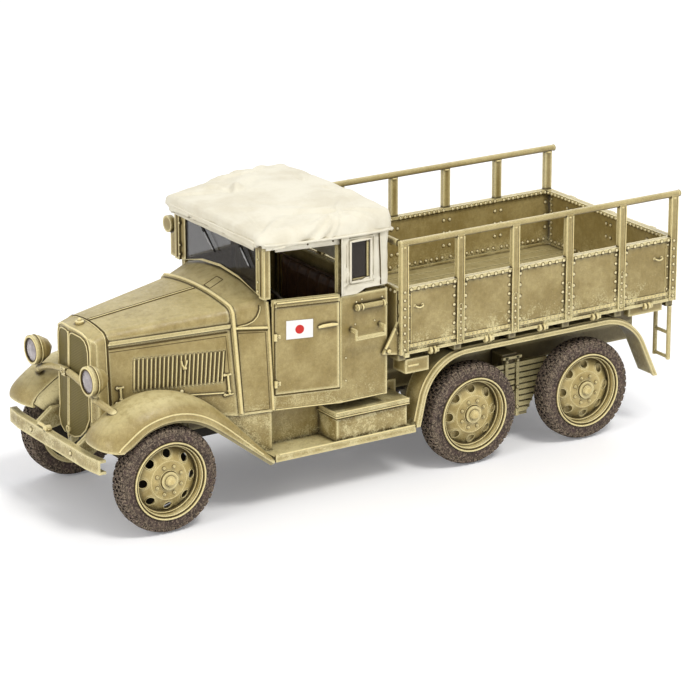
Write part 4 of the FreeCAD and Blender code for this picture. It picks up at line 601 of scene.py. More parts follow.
def tyre(name):
    """A chunky tyre: a rounded carcass, three rows of blocks a side and lugs over its shoulders."""
    low, high = reach(name)
    centre = (low + high) / 2
    half = (high.y - low.y) / 2
    radius = (high.z - low.z) / 2
    build = Build()
    side = [(across * half, up * radius) for across, up in CARCASS_SHARES]
    build.lathe(centre, LEFT, side + [(-along, up) for along, up in reversed(side)], 96)
    dice = random.Random(name)
    pitch = 2 * math.pi / TREAD_COUNT

    def block(start, width, outline):
        """A block between two angles, from an outline of (distance across, radius)."""
        turns = (start * pitch, start * pitch + width * pitch)
        build.prism(*[[centre + spoke(turn) * up + LEFT * along for along, up in outline] for turn in turns])

    for way in WAYS:
        shifted = 0.25 if way < 0 else 0.0
        for across, ups, shift in BLOCK_ROWS:
            for step in range(TREAD_COUNT):
                start = step + shift + dice.uniform(-0.07, 0.07) + shifted
                width = dice.uniform(0.62, 0.74)
                lift = radius * (1 - dice.uniform(0.0, 0.006))
                top = [(share * half * way, up * lift) for share, up in zip(across, ups)]
                foot = [(along, up - radius * BLOCK_DEPTH_SHARE) for along, up in reversed(top)]
                block(start, width, top + foot)
        for step in range(TREAD_COUNT):
            start = step + dice.uniform(-0.06, 0.06) + shifted
            width = dice.uniform(0.50, 0.66)
            lift = radius * dice.uniform(0.992, 1.0)
            block(start, width, [(along * half * way, up * lift) for along, up in SHOULDER_SHARES])
    piece = build.finish("tread_" + name, sharp=35)
    dress(piece, "tyre", name.replace("tyre", "road_wheel"), [name])


def wheel_trim(name):
    """Rounded lips on the rim, collars round the holes, wheel nuts and the hub's cap."""
    low, high = reach(name)
    way = 1 if high.y > 0 else -1
    centre = (low + high) / 2
    radius = (high.z - low.z) / 2
    outer = Vector((centre.x, 0, centre.z))
    axis = LEFT * way
    hub = max(high.y, -low.y)
    disc = hub - 1.5
    lip = centre.y * way + 2.9
    body = name.replace("wheel", "road_wheel")

    def ring(build, distance, along, thick, sides=72, corners=8):
        build.tube(circle(outer + axis * along, AHEAD, UP, distance, sides), thick, corners, closed=True)

    build = Build()
    ring(build, radius - 0.22, lip - 0.08, 0.24)
    ring(build, radius - 0.95, lip - 0.42, 0.16)
    ring(build, radius * 0.865, lip - 2.2, 0.24)
    ring(build, 2.55, disc + 0.02, 0.16, 40)
    ring(build, 4.95, disc - 0.05, 0.10, 56)
    # The disc's cone, which the holes stand square to
    slope = math.atan(1.8 / 3.45)
    for step in range(HOLE_COUNT):
        out = spoke(2 * math.pi * step / HOLE_COUNT)
        normal = (out * math.sin(slope) + axis * math.cos(slope)).normalized()
        side = normal.cross(out).normalized()
        middle = outer + out * HOLE_DISTANCE + axis * (disc - 0.94)
        build.tube(circle(middle, side, side.cross(normal), 1.24, 24), 0.13, 6, closed=True)
        if "front" not in name:
            build.lathe(middle - axis * 0.55, axis, HOLE_BACK, 20)
    for step in range(NUT_COUNT):
        out = spoke(2 * math.pi * (step + 0.5) / NUT_COUNT)
        build.lathe(outer + out * NUT_DISTANCE + axis * disc, axis, NUT, 6)
    build.lathe(outer + axis * hub, axis, HUB_CAP, 28)
    dress(build.finish("trim_" + name, sharp=EDGE_DEGREES), "wheel_trim", body)
    # Dark wash and painted shade in the groove round the hub, at the foot of the rim and behind each nut
    shade = Build()
    ring(shade, 1.85, disc - 0.02, 0.34, 64, 6)
    ring(shade, radius - 0.6, lip - 0.36, 0.14, 64, 6)
    ring(shade, radius * 0.835, lip - 2.35, 0.2, 64, 6)
    shade.lathe(outer + axis * (disc + 0.06), axis, [(0.0, 1.25), (0.02, 2.0), (-0.02, 2.42)], 40)
    dress(shade.finish("shade_" + name), "line", body)


for name in sorted(nodes):
    if name.startswith("tyre_"):
        tyre(name)
    if name.startswith("wheel_"):
        wheel_trim(name)


# Cargo bed
BAY_COUNT = 5
RIVET_PITCH = 2.05
PLANK_COUNT = 12
PLANK_GAP = 0.22
POST = 2.2
KNOB = [(0.0, OPEN_END), (0.0, 0.85), (0.15, 1.0), (0.55, 1.0), (0.7, 0.85), (0.7, OPEN_END)]
# A handle's line: along the bed, out from its panel and down from its top
HANDLE = [
    (1.15, 0.0, 5.2), (1.1, 0.55, 5.25), (0.7, 0.75, 5.5), (0.0, 0.8, 5.65),
    (-0.7, 0.75, 5.5), (-1.1, 0.55, 5.25), (-1.15, 0.0, 5.2),
]


def post_bolts(build, head, along, normal):
    """Three pairs of bolt heads down a post."""
    for row in (1, 2, 3):
        for shift in (-0.975, 0.975):
            build.stud(head + along * shift - UP * 3.6 * row, normal, 0.46)


def bed_side_trim(side, way):
    """Rivets, stake pockets, edge strips, knobs and handles of one side of the bed."""
    name = "bed_side_" + side
    low, high = reach(name)
    front = reach("headboard")[1].x - 0.5
    rear = low.x + 0.85
    panel = beside([name], front - 12, 46, way)[0].y * way
    inner = panel - 0.8
    face = panel + 0.5
    foot = low.z + 0.6
    top = reach("tailgate")[1].z
    rail = high.z - 0.85
    pitch = (front - rear - POST) / BAY_COUNT
    out, inward = LEFT * way, LEFT * -way
    build = Build()

    def at(x, across, z):
        return Vector((x, across * way, z))

    def bead(x0, x1, z0, z1, across, lift):
        build.box(at(x0, across, z0), at(x1, across + lift, z1))

    def column(x, across, z0, z1, gap, radius):
        build.rivets(at(x, across, z0), at(x, across, z1), out, gap, radius)

    def row(x0, x1, across, z, normal, gap, radius):
        build.rivets(at(x0, across, z), at(x1, across, z), normal, gap, radius)

    for index in range(BAY_COUNT + 1):
        x = rear + pitch * index
        middle = x + POST / 2
        for edge in (x, x + POST - 0.3):
            bead(edge, edge + 0.3, foot + 0.1, rail - 0.6, face - 0.02, 0.16)
        if 0 < index < BAY_COUNT:
            # A stake pocket with round ends
            ends = ((foot + 10.25, 0.0), (foot + 1.45, math.pi))
            pocket = []
            for z, start in ends:
                turns = steps(start, start + math.pi, 6)
                pocket += [at(middle, face, z) + spoke(turn) * 0.55 for turn in turns]
            build.tube(pocket, 0.13, 6, closed=True)
            column(middle, face, foot + 2.4, foot + 9.4, 1.75, 0.34)
            column(x - 0.6, panel, foot + 3.4, top - 2.0, 2.8, 0.5)
            column(x + POST + 0.6, panel, foot + 3.4, top - 2.0, 2.4, 0.42)
        else:
            column(middle, face, foot + 1.4, top - 1.0, 2.2, 0.38)
            toward = 1 if index == 0 else -1
            edge = middle + (POST / 2 + 0.55) * toward
            column(edge, panel, foot + 3.4, top - 2.0, 2.8, 0.32)
            bead(edge + toward * 0.5, edge + toward * 0.7, foot + 2.5, top - 1.6, panel - 0.02, 0.1)
        build.lathe(at(middle, inner + 0.4, rail - 1.15), UP, [(0, 0.95), (0.2, 1.02), (0.5, 0.9)], 14)
        post_bolts(build, at(middle, inner, top), AHEAD, inward)
    for index in range(BAY_COUNT):
        x0 = rear + pitch * index + POST
        x1 = rear + pitch * (index + 1)
        middle = (x0 + x1) / 2
        flange = beside([name], middle, top - 0.4, way)[0].y * way
        row(x0 + 0.8, x1 - 0.8, flange, top - 0.6, out, RIVET_PITCH, 0.44)
        flange = meet([name], (middle, 0, top - 0.4), out)[0].y * way
        row(x0 + 0.4, x1 - 0.4, flange, top - 0.6, inward, RIVET_PITCH * 0.8, 0.44)
        row(x0 + 0.3, x1 - 0.3, inner, foot + 3.4, inward, RIVET_PITCH * 0.9, 0.42)
        bead(x0, x1, foot + 1.6, foot + 2.5, panel - 0.02, 0.2)
        row(x0 + 0.6, x1 - 0.6, panel + 0.18, foot + 2.05, out, 1.2, 0.2)
        for shift in (-0.97, 0.27):
            build.lathe(at(middle + shift, panel + 0.3, foot - 0.15), AHEAD, KNOB, 16)
    # The strip in the corner of the floor
    bead(rear, front, foot + 1.7, foot + 2.5, inner, -0.35)
    for x in (front - 5.6, rear + 5.9):
        build.tube([at(x + along, panel + lift, top - down) for along, lift, down in HANDLE], 0.22, 8)
        for along, _, down in (HANDLE[0], HANDLE[-1]):
            build.dome(at(x + along, panel, top - down), out, 0.42, 0.2, 10, 2)
    build.dome(at(low.x + 0.1, inner + 0.4, rail), -AHEAD, 0.95, 0.5, 16, 4)
    dress(build.finish("bed_trim_" + side, sharp=EDGE_DEGREES), "bed_trim")
    build.studded("bed_trim_" + side)


def cross_wall_trim(name, outer, inner, way, posts):
    """Rivets and edge strips of the headboard or the tailgate. way points out of the bed."""
    half = reach(name)[1].y - 0.9
    top = reach("tailgate")[1].z
    foot = reach("bed_floor")[1].z
    out, inward = AHEAD * way, AHEAD * -way
    flange = meet([name], (inner - way * 6, 3.0, top - 0.4), out)[0].x
    build = Build()
    for x, z, normal, share, radius in (
        (flange, top - 0.6, inward, 0.8, 0.44), (inner, foot + 1.1, inward, 0.9, 0.42),
        (outer, top - 1.3, out, 1.0, 0.46), (outer, foot + 1.3, out, 1.0, 0.4),
    ):
        build.rivets((x, -half, z), (x, half, z), normal, RIVET_PITCH * share, radius)
    for y in posts:
        post_bolts(build, Vector((inner, y, top)), LEFT, inward)
        for row in range(3):
            build.stud((outer + way * 0.5, y, top - 2.2 - row * 4.6), out, 0.42)
    for y in (-half - 0.2, half + 0.2):
        build.rivets((inner, y, foot + 3.0), (inner, y, top - 2.6), inward, 1.7, 0.4)
    build.box((inner, -half, foot), (inner - way * 0.35, half, foot + 0.5))
    dress(build.finish(name + "_trim", sharp=EDGE_DEGREES), "bed_trim")
    build.studded(name + "_trim")


def planks():
    """Boards along the bed's floor, a little uneven, with bolt heads over the bearers."""
    low, high = reach("bed_floor")
    build = Build()
    width = (high.y - low.y) / PLANK_COUNT
    dice = random.Random("planks")
    for index in range(PLANK_COUNT):
        y0 = low.y + width * index + PLANK_GAP / 2
        y1 = y0 + width - PLANK_GAP
        top = high.z - dice.uniform(0.0, 0.08)
        build.box((low.x, y0, low.z), (high.x, y1, top))
        for x in steps(low.x + 1.2, high.x - 1.2, BAY_COUNT):
            for y in (y0 + 0.7, y1 - 0.7):
                build.dome((x, y, top), UP, 0.2, 0.08, 8, 2)
    build.box(low, (high.x, high.y, low.z + 0.35))
    piece = build.finish("bed_planks")
    bevel = piece.modifiers.new("bevel", "BEVEL")
    bevel.width = 0.1 * MM
    bevel.segments = 1
    bevel.limit_method = "ANGLE"
    bevel.angle_limit = math.radians(60)
    piece.modifiers.new("normals", "WEIGHTED_NORMAL").keep_sharp = True
    dress(piece, "floor", replaces=["bed_floor"])


bed_side_trim("left", 1)
bed_side_trim("right", -1)
board = reach("headboard")[1]
gate_low, gate_high = reach("tailgate")
GATE_POSTS = (-gate_high.y * 2 / 3, 0.0, gate_high.y * 2 / 3)
cross_wall_trim("headboard", board.x - 0.5, board.x - 1.3, 1, (-board.y / 3, board.y / 3))
cross_wall_trim("tailgate", gate_low.x + 0.5, gate_low.x + 1.3, -1, GATE_POSTS)
planks()

# Beads and lines laid on the body: pale beads, dark panel lines, and dark lines of painted shade under beads
# and in slots and folds. Their points are (along, height) on a side, (along, across) above.
BRIGHT = Build()
DARK = Build()
HOOD = ["hood_top", "hood_sides", "radiator_shell", "cowl"]
DOORS = ["door_left", "door_right"]
CAB = DOORS + ["cab_quarters"]


def girdle(names, x, low, lift=0.0, middle=40.0):
    """A path round the hood at one station, from the left side over the top to the right side."""
    sides = [(x, z) for z in steps(low, middle, 6)[:-1]]
    outs = [LEFT * math.cos(turn) + UP * math.sin(turn) for turn in steps(0, math.pi, 36)]
    centre = Vector((x, 0, middle))
    arch = lifted((meet(names, centre + out * FAR, -out) for out in outs), lift)
    return side_line(names, sides, 1, lift) + arch + side_line(names, sides[::-1], -1, lift)


def on_side(build, way, names, corners, radius, lift=0.0):
    build.tube(side_line(names, between(corners), way, lift), radius, 6)


# Hood and cowl
cowl_x = reach("hood_top")[0].x
joint_x = reach("hood_top")[1].x
DARK.tube(girdle(["hood_top", "hood_sides"], joint_x - 0.05, 25.0, -0.06), 0.26, 6)
BRIGHT.tube(girdle(["radiator_shell"], joint_x + 0.42, 25.5), 0.16, 6)
BRIGHT.tube(girdle(["cowl"], cowl_x - 0.62, 24.8, 0.05), 0.46, 8)
DARK.tube(girdle(["cowl"], cowl_x - 1.2, 24.8, -0.05), 0.2, 6)
for y, radius, build in ((0.0, 0.24, BRIGHT), (0.55, 0.2, DARK), (-0.55, 0.2, DARK)):
    ridge = between([(joint_x - 0.3, y), (cowl_x + 0.4, y)], 16)
    build.tube(top_line(["hood_top"], ridge, -0.05), radius, 6)
COWL_PANEL = [(43.8, 44.9), (37.1, 44.7), (37.1, 25.0), (43.8, 25.0), (43.8, 44.9)]
BEND = [(38.3, 51.6), (38.5, 50.4), (39.1, 49.0), (40.1, 47.9), (41.6, 47.2), (43.9, 46.8)]
for way in WAYS:
    # The dark lines just under the hood's bead and the cowl's bead are painted shade; the thin ones are
    # panel lines
    on_side(DARK, way, HOOD, [(75.6, 44.15), (46.2, 45.35)], 0.24, -0.08)
    on_side(DARK, way, HOOD, [(75.6, 43.3), (46.6, 44.4), (46.6, 31.5)], 0.09, -0.03)
    on_side(BRIGHT, way, HOOD, [(44.3, 46.2), (36.5, 45.8)], 0.46)
    on_side(DARK, way, HOOD, [(44.0, 45.6), (36.5, 45.2)], 0.2, -0.05)
    on_side(DARK, way, HOOD, BEND, 0.16, -0.04)
    on_side(BRIGHT, way, HOOD, [(x - 0.32, z - 0.25) for x, z in BEND], 0.17)
    on_side(DARK, way, HOOD, COWL_PANEL, 0.1, -0.04)
    rear_edge = side_line(["cowl"], between([(36.6, 24.6), (36.6, 52.2)]), way)
    BRIGHT.tube([point - AHEAD * 0.42 for point in rear_edge], 0.46, 6)
    # The handle among the louvres, the two spring latches, and the rod with its knob
    place, normal = beside(HOOD, 57.5, 37.6, way)
    BRIGHT.dome(place, normal, 0.6, 0.8)
    for shift in (-0.6, 0.6):
        wing = [(0.6, 0.0, 0.0), (0.7, shift, 1.1), (0.7, shift * 1.3, 2.0)]
        BRIGHT.tube([place + normal * off + AHEAD * x + UP * z for off, x, z in wing], [0.26, 0.22, 0.26], 6)
    for x, low, high in ((73.5, 30.4, 34.2), (47.1, 29.9, 34.8)):
        foot, normal = beside(HOOD, x, low, way)
        head = beside(HOOD, x, high, way)[0]
        BRIGHT.tube([foot + normal * 0.55, head + normal * 0.55], 0.28, 8)
        for end, half in ((head, 0.8), (foot, 1.2)):
            ends = [end - AHEAD * half, end + AHEAD * half]
            BRIGHT.tube([place + normal * 0.3 for place in ends], 0.24, 6)
            for place in ends:
                BRIGHT.stud(place, normal, 0.42)
        BRIGHT.dome(foot + UP * 0.9, normal, 0.5, 0.9)
    BRIGHT.tube(side_line(HOOD, between([(56.6, 30.7), (48.4, 30.4)], 4), way, 0.35), 0.2, 8)
    BRIGHT.stud(*beside(HOOD, 58.6, 31.8, way), 0.5)
FLAP = [(43.6, 1.6), (43.6, 4.6), (39.8, 4.6), (39.8, 1.6), (43.6, 1.6)]
DARK.tube(top_line(["cowl"], between(FLAP, 4), -0.04), 0.14, 6)


# Radiator
def prow(y, z, lift=0.12):
    """A place on the radiator's two sloping front faces."""
    lean = min(max((25.5 - z) / 3.0, 0.0), 1.0) * 0.8
    return (81.2 - 0.152 * abs(y) + lean + lift, y, z)


# The radiator's outlines on one side: (distance across, height), the mesh and then the shell's edge
MESH_EDGE = [
    (0.3, 20.6), (2.6, 20.4), (5.0, 21.2), (6.9, 23.2), (7.6, 26.0), (7.7, 35.0), (7.6, 43.2), (7.2, 44.9),
    (6.3, 46.1), (4.9, 46.7), (1.6, 47.0), (0.7, 46.7), (0.3, 46.0),
]
SHELL_EDGE = [(8.35, 25.5), (8.35, 43.6), (8.05, 45.4), (7.2, 46.9), (5.2, 47.7), (2.6, 48.05), (0.0, 48.2)]
FILLER = [(-0.6, 1.1), (0.3, 1.15), (0.45, 0.95), (0.5, 0.5), (0.95, 0.46), (1.1, 0.3), (1.1, OPEN_END)]
CRANK_HOLE = [(-0.2, 1.0), (0.3, 0.95), (0.4, 0.75), (0.3, 0.5), (0.05, 0.45), (0.05, OPEN_END)]
panels = Build()
for way in WAYS:
    panels.prism(*[[prow(y * way, z, lift) for y, z in MESH_EDGE] for lift in (0.12, -0.5)])
    BRIGHT.tube([prow(y * way, z, 0.14) for y, z in MESH_EDGE], 0.2, 6, closed=True)
dress(panels.finish("radiator_mesh", smooth=False), "mesh")
BRIGHT.tube([prow(0, z, 0.16) for z in (19.8, 23.0, 25.0, 27.0, 36.0, 47.2)], 0.3, 8)
BRIGHT.tube([prow(y, z, -0.05) for y, z in SHELL_EDGE + [(-y, z) for y, z in SHELL_EDGE[-2::-1]]], 0.26, 8)
BRIGHT.lathe((78.2, 0, 48.9), UP, FILLER, 20)
BRIGHT.lathe((82.1, 0, 21.8), AHEAD, CRANK_HOLE, 20)

# Headlamps, their bar and the bumper
lens_low, lens_high = reach("headlamp_lenses")
for way in WAYS:
    centre = Vector((84.25, (lens_high.y - 3.1) * way, (lens_low.z + lens_high.z) / 2))
    BRIGHT.hoop(centre, AHEAD, 3.42, 0.36)
    DARK.hoop(centre + AHEAD * 0.12, AHEAD, 2.98, 0.16)
    BRIGHT.hoop(centre - AHEAD * 1.35, AHEAD, 3.72, 0.14)
    BRIGHT.dome(centre + Vector((-0.3, 0, 3.6)), UP, 0.4, 0.35)
    BRIGHT.stud((87.2, 10.5 * way, 19.5), AHEAD, 0.55)
    for z in (36.7, 37.9):
        BRIGHT.stud((83.2, 0.8 * way, z), AHEAD, 0.3)
BRIGHT.tube([(86.4, -7.6, 21.9), (86.4, -4.4, 21.8)], 0.5, 10)
BRIGHT.lathe((86.3, -3.4, 21.6), AHEAD, [(-0.9, 0.9), (0.7, 0.95), (0.9, 0.7), (0.9, OPEN_END)], 6)
BRIGHT.tube([(86.3, -4.6, 21.5), (86.3, -3.4, 21.6), (86.3, -2.2, 21.3)], 0.45, 8)


# Canvas roof and curtains
def crease(creases, along, across):
    """How far the cloth stands out at a place, from folds that fade along their lines."""
    total = 0.0
    for first, last, rise, width in creases:
        run = Vector(last) - Vector(first)
        step = Vector((along, across)) - Vector(first)
        share = step.dot(run) / run.length_squared
        # A fold rises quickly at its start, fades and widens along its line, and has a dip on one side
        if -0.1 < share < 1.0:
            off = (step - run * share).length / (width * (0.5 + share))
            fade = (1 - max(share, 0.0)) ** 0.7 * min(1.0, (share + 0.1) * 6)
            total += rise * fade * (math.exp(-off * off) - 0.55 * math.exp(-(off - 1.9) ** 2 * 1.6))
    return total


# Folds: where each begins and ends, its rise and its width
ROOF_CREASES = [
    ((17.0, 22.5), (37.0, 27.0), 0.55, 0.8), ((17.0, 23.0), (31.0, 31.0), 0.45, 0.7),
    ((18.0, 24.0), (24.0, 31.0), 0.3, 0.6), ((15.5, 23.0), (5.5, 29.5), 0.5, 0.7),
    ((15.0, 21.5), (5.0, 25.5), 0.4, 0.8), ((17.0, 21.5), (31.0, 8.0), 0.45, 1.1),
    ((17.0, 21.0), (34.0, 0.0), 0.3, 1.2), ((16.0, 20.5), (7.0, 10.0), 0.3, 1.0),
    ((38.0, 22.0), (27.0, 14.0), 0.35, 1.0), ((38.5, 20.0), (34.0, -2.0), 0.3, 0.9),
    ((27.0, -10.0), (19.0, -21.0), 0.8, 1.8), ((30.0, -20.0), (22.0, -6.0), 0.5, 1.3),
    ((16.0, -22.0), (36.0, -27.5), 0.45, 0.8), ((16.0, -22.5), (24.0, -31.0), 0.35, 0.7),
    ((15.0, -22.0), (5.5, -28.0), 0.45, 0.8), ((38.5, -20.0), (26.0, -12.0), 0.35, 1.0),
    ((8.0, 2.0), (4.5, 14.0), 0.3, 0.9), ((9.0, -6.0), (4.5, -16.0), 0.3, 0.9),
]
CURTAIN_CREASES = [
    ((18.0, 3.0), (12.0, 1.2), 0.4, 0.5), ((18.3, 1.0), (14.0, 3.0), 0.3, 0.4),
    ((18.2, 8.0), (16.2, 5.0), 0.25, 0.4), ((9.8, 3.4), (5.5, 1.0), 0.3, 0.5),
    ((9.5, 14.5), (6.5, 12.5), 0.25, 0.5), ((16.5, 14.6), (18.2, 13.0), 0.25, 0.4),
]
# The curtain: its upper edge, the height that its rows are given for, and its windows
CURTAIN_TOP = 67.95
CURTAIN_DROP = 15.4
WINDOW_X = (10.35, 15.8)
WINDOW_Z = (56.0, 66.0)
CURTAIN_ROWS = [0.0, 0.3, 1.0, 2.0, 3.0, 3.5, *steps(4.5, 13.5, 9), 14.3, CURTAIN_DROP]
# Heights of the roof's hem, and of the foot of the strip that hangs from it
HEM_Z = 67.9
FRONT_HEM_Z = 68.5
HEM_FOOT = 65.95
# Rows of points from the roof's spine to its edge, round its shoulder, and down its drop
INNER, SHOULDER, DROP = 44, 12, 8
# The roof's edge lies this far inside its ends, and the shoulder turns about a centre this deep
ROOF_INSET = 4.0
SHOULDER_DEPTH = 4.3
# How far apart the rows of the shoulder and the drop count as when folds and ripples are laid on them
SHOULDER_STEP = 0.52
DROP_STEP = 0.35
roof_low, roof_high = reach("canopy")


def roof_edge():
    """Places round the roof's edge: x, y as a share of half its width, and the way out."""
    edge = []
    ends = (roof_low.x + ROOF_INSET, roof_high.x - ROOF_INSET)
    for way, (first, last) in ((1, ends), (-1, ends[::-1])):
        bend = [(way * math.sin(turn), way * math.cos(turn)) for turn in steps(0, math.pi / 2, 9)[1:-1]]
        edge += [(x, way, (0.0, way)) for x in steps(first, last, 109)]
        edge += [(last, way, out) for out in bend]
        edge += [(last, share, (way, 0.0)) for share in steps(way, -way, 90)]
        edge += [(last, -way, (x, -y)) for x, y in reversed(bend)]
    return edge


def roof_sheet():
    """The roof: one sheet over its bows, round its shoulders and down to a hem. Also the hem's line."""
    edge = roof_edge()
    size = INNER + SHOULDER + DROP + 1
    points = []
    for x, share, (out_x, out_y) in edge:
        # The edge is narrower over the windscreen than over the doors and the back
        back = (roof_high.x - x) / (roof_high.x - roof_low.x)
        y = share * (18.8 + 3.6 * min(1.0, back * 1.7))
        # The sheet is laid from a spine between the middle bows, so its rows fan out over both ends
        spine = Vector((min(max(x, 15.0), 29.0), 0, 0))
        column = []
        for part in steps(0, 1, INNER):
            base = spine.lerp(Vector((x, y, 0)), part)
            column.append((*over(["canopy"], base.x, base.y), base.x, base.y))
        top = column[-1][0].z
        for step in range(1, SHOULDER + 1):
            turn = math.pi / 2 * step / SHOULDER
            out = Vector((out_x * math.sin(turn), out_y * math.sin(turn), math.cos(turn)))
            hit = meet(["canopy"], Vector((x, y, top - SHOULDER_DEPTH)) + out * 40, -out)
            place = hit[0] if hit else column[-1][0] - UP * 0.35
            beyond = step * SHOULDER_STEP
            column.append((place, out, x + out_x * beyond, y + out_y * beyond))
        last = column[-1][0]
        hem = HEM_Z + (FRONT_HEM_Z - HEM_Z) * max(0.0, out_x)
        for step, z in enumerate(steps(last.z, hem, DROP)[1:], 1):
            beyond = 6.3 + step * DROP_STEP
            place = Vector((last.x, last.y, z))
            column.append((place, Vector((out_x, out_y, 0)), x + out_x * beyond, y + out_y * beyond))
        for index, (place, normal, along, across) in enumerate(column):
            lift = 0.12 + crease(ROOF_CREASES, along, across) * 1.7
            lift += noise.noise(Vector((along * 0.16, across * 0.16, 1.0))) * 0.25
            lift += noise.noise(Vector((along * 0.5, across * 0.32, 7.0))) * 0.10
            lift += 0.3 * max(index - INNER, 0) / (SHOULDER + DROP)
            points.append(place + normal * max(lift, -0.3))

    def join(shape):
        bmesh.ops.remove_doubles(shape, verts=shape.verts, dist=0.02 * MM)
        inside = [vertex for vertex in shape.verts if not vertex.is_boundary]
        axes = {"use_axis_" + axis: True for axis in "xyz"}
        bmesh.ops.smooth_vert(shape, verts=inside, factor=0.5, **axes)

    faces = quads(len(edge), size, closed=True, around=False)
    piece = make_mesh("roof_canvas", points, faces, work=join)
    return dress(piece, "canvas", TRUCK, ["canopy"]), points[size - 1::size]


def curtain_path():
    """The curtain's line seen from above: back along one side, round the back and forward again."""
    side_y, back_x, bend, door_x = 26.95, 4.25, 1.6, 18.55
    path = [(x, side_y) for x in steps(door_x, back_x + bend, 29)]
    for turn in steps(0, math.pi / 2, 6)[1:-1]:
        path.append((back_x + bend - bend * math.sin(turn), side_y - bend + bend * math.cos(turn)))
    back = [(back_x, y) for y in steps(side_y - bend, bend - side_y, 60)]
    return path + back + [(x, -y) for x, y in path[::-1]]


def curtain():
    """Side and back curtains as one sheet, with a window in each side."""
    path = curtain_path()
    points = []
    for index, (x, y) in enumerate(path):
        before = path[max(index - 1, 0)]
        after = path[min(index + 1, len(path) - 1)]
        run = Vector((after[0] - before[0], after[1] - before[1], 0)).normalized()
        out = Vector((-run.y, run.x, 0))
        if out.dot(Vector((x - 14, y, 0))) < 0:
            out = -out
        low = 52.5 + 1.1 * min(max((14.3 - x) / 2.6, 0.0), 1.0) ** 1.5
        along = x if abs(y) > 20 else 30 + abs(y)
        for height in CURTAIN_ROWS:
            z = low + (CURTAIN_TOP - low) * height / CURTAIN_DROP
            lift = crease(CURTAIN_CREASES, along, height) * 1.8
            lift += noise.noise(Vector((x * 0.3, y * 0.3, z * 0.25))) * 0.28
            points.append(Vector((x, y, z)) + out * lift)

    def is_cloth(face):
        """Whether a face lies outside the two windows."""
        x, y, z = sum((points[corner] for corner in face), Vector()) / 4
        in_window = WINDOW_X[0] < x < WINDOW_X[1] and WINDOW_Z[0] < z < WINDOW_Z[1]
        return not (abs(y) > 20 and in_window)

    def clear(shape):
        loose = [vertex for vertex in shape.verts if not vertex.link_faces]
        bmesh.ops.delete(shape, geom=loose, context="VERTS")

    faces = list(filter(is_cloth, quads(len(path), len(CURTAIN_ROWS), around=False)))
    return dress(make_mesh("curtain_canvas", points, faces, work=clear), "canvas")


# The canopy's sides over the doors, met here because no ray meets it once it is replaced
hem_sides = {way: side_line(["canopy"], [(x, 69.2) for x in steps(18.9, 35.9, 10)], way) for way in WAYS}
roof, hem_ring = roof_sheet()
sides = curtain()
cloth_trim = Build()
cloth_trim.tube(hem_ring, 0.36, 8, closed=True)
# The strip that hangs from the front hem, begun at the break between its two ends
valance = [point for point in hem_ring if point.x > 18.9]
start = max(range(len(valance)), key=lambda index: (valance[index] - valance[index - 1]).length)
strip = []
for point in valance[start:] + valance[:start]:
    ahead = point.x > 38.5
    head = point + Vector((-0.25 if ahead else 0.0, -0.3 if point.y > 0 else 0.3, 0))
    strip.append((head, Vector((head.x, head.y, 66.3 if ahead else HEM_FOOT))))
for (first, first_foot), (second, second_foot) in zip(strip, strip[1:]):
    if abs(first.y) <= 21.2:
        front = [first, second, second_foot, first_foot]
        away = Vector((-0.3, -0.3 if first.y > 0 else 0.3, 0))
        cloth_trim.add(front + [point + away for point in front], [(0, 1, 2, 3), (7, 6, 5, 4), (3, 2, 6, 7)])
PANE_FRAME = [(16.1, 55.7), (16.1, 66.3), (10.05, 66.3), (10.05, 55.7), (16.1, 55.7)]
snaps = Build()
panes = Build()
frames = Build()
for way in WAYS:
    side = [Vector((place.x, place.y - 0.3 * way, 68.3)) for place in hem_sides[way]]
    cloth_trim.wall(side, [Vector((place.x, place.y, HEM_FOOT)) for place in side], LEFT * -0.3 * way)
    edge = between(PANE_FRAME, 8)
    seam = [(x + (0.9 if x > 13 else -0.9), z + (0.75 if z > 60 else -0.75)) for x, z in edge]
    door_edge = between([(18.6, 52.6), (18.6, 67.4)])
    # A dark line of painted shade along a fold near the curtain's back
    fold = between([(7.7, 67.3), (7.35, 60.0), (7.2, 53.9)], 6)
    for build, line, y, radius, corners in (
        (cloth_trim, edge, 27.15, 0.3, 8), (cloth_trim, seam, 27.1, 0.12, 6),
        (cloth_trim, door_edge, 27.12, 0.2, 6), (DARK, fold, 27.22, 0.15, 6),
    ):
        build.tube([(x, y * way, z) for x, z in line], radius, corners)
    for place in hem_sides[way][1:10:4]:
        snaps.dome((place.x, place.y - 0.3 * way, 67.0), LEFT * way, 0.26, 0.25)
    panes.box((10.2, 26.2 * way, 55.9), (15.95, 26.45 * way, 66.1))
    frames.box((10.3, 26.2 * way, 56.0), (11.1, 26.8 * way, 66.0))
    frames.box((10.3, 26.2 * way, 56.0), (15.8, 26.8 * way, 56.5))
for y in (-20.8, -12.6, -4.2, 4.2, 12.6, 20.8):
    snaps.dome((roof_high.x - 0.05, y, 67.55), AHEAD, 0.3, 0.25)
hems = dress(cloth_trim.finish("canvas_hems"), "canvas")
dress(snaps.finish("canvas_snaps"), "line")
dress(panes.finish("curtain_panes", smooth=False), "pane")
dress(frames.finish("curtain_frames", smooth=False), "body")

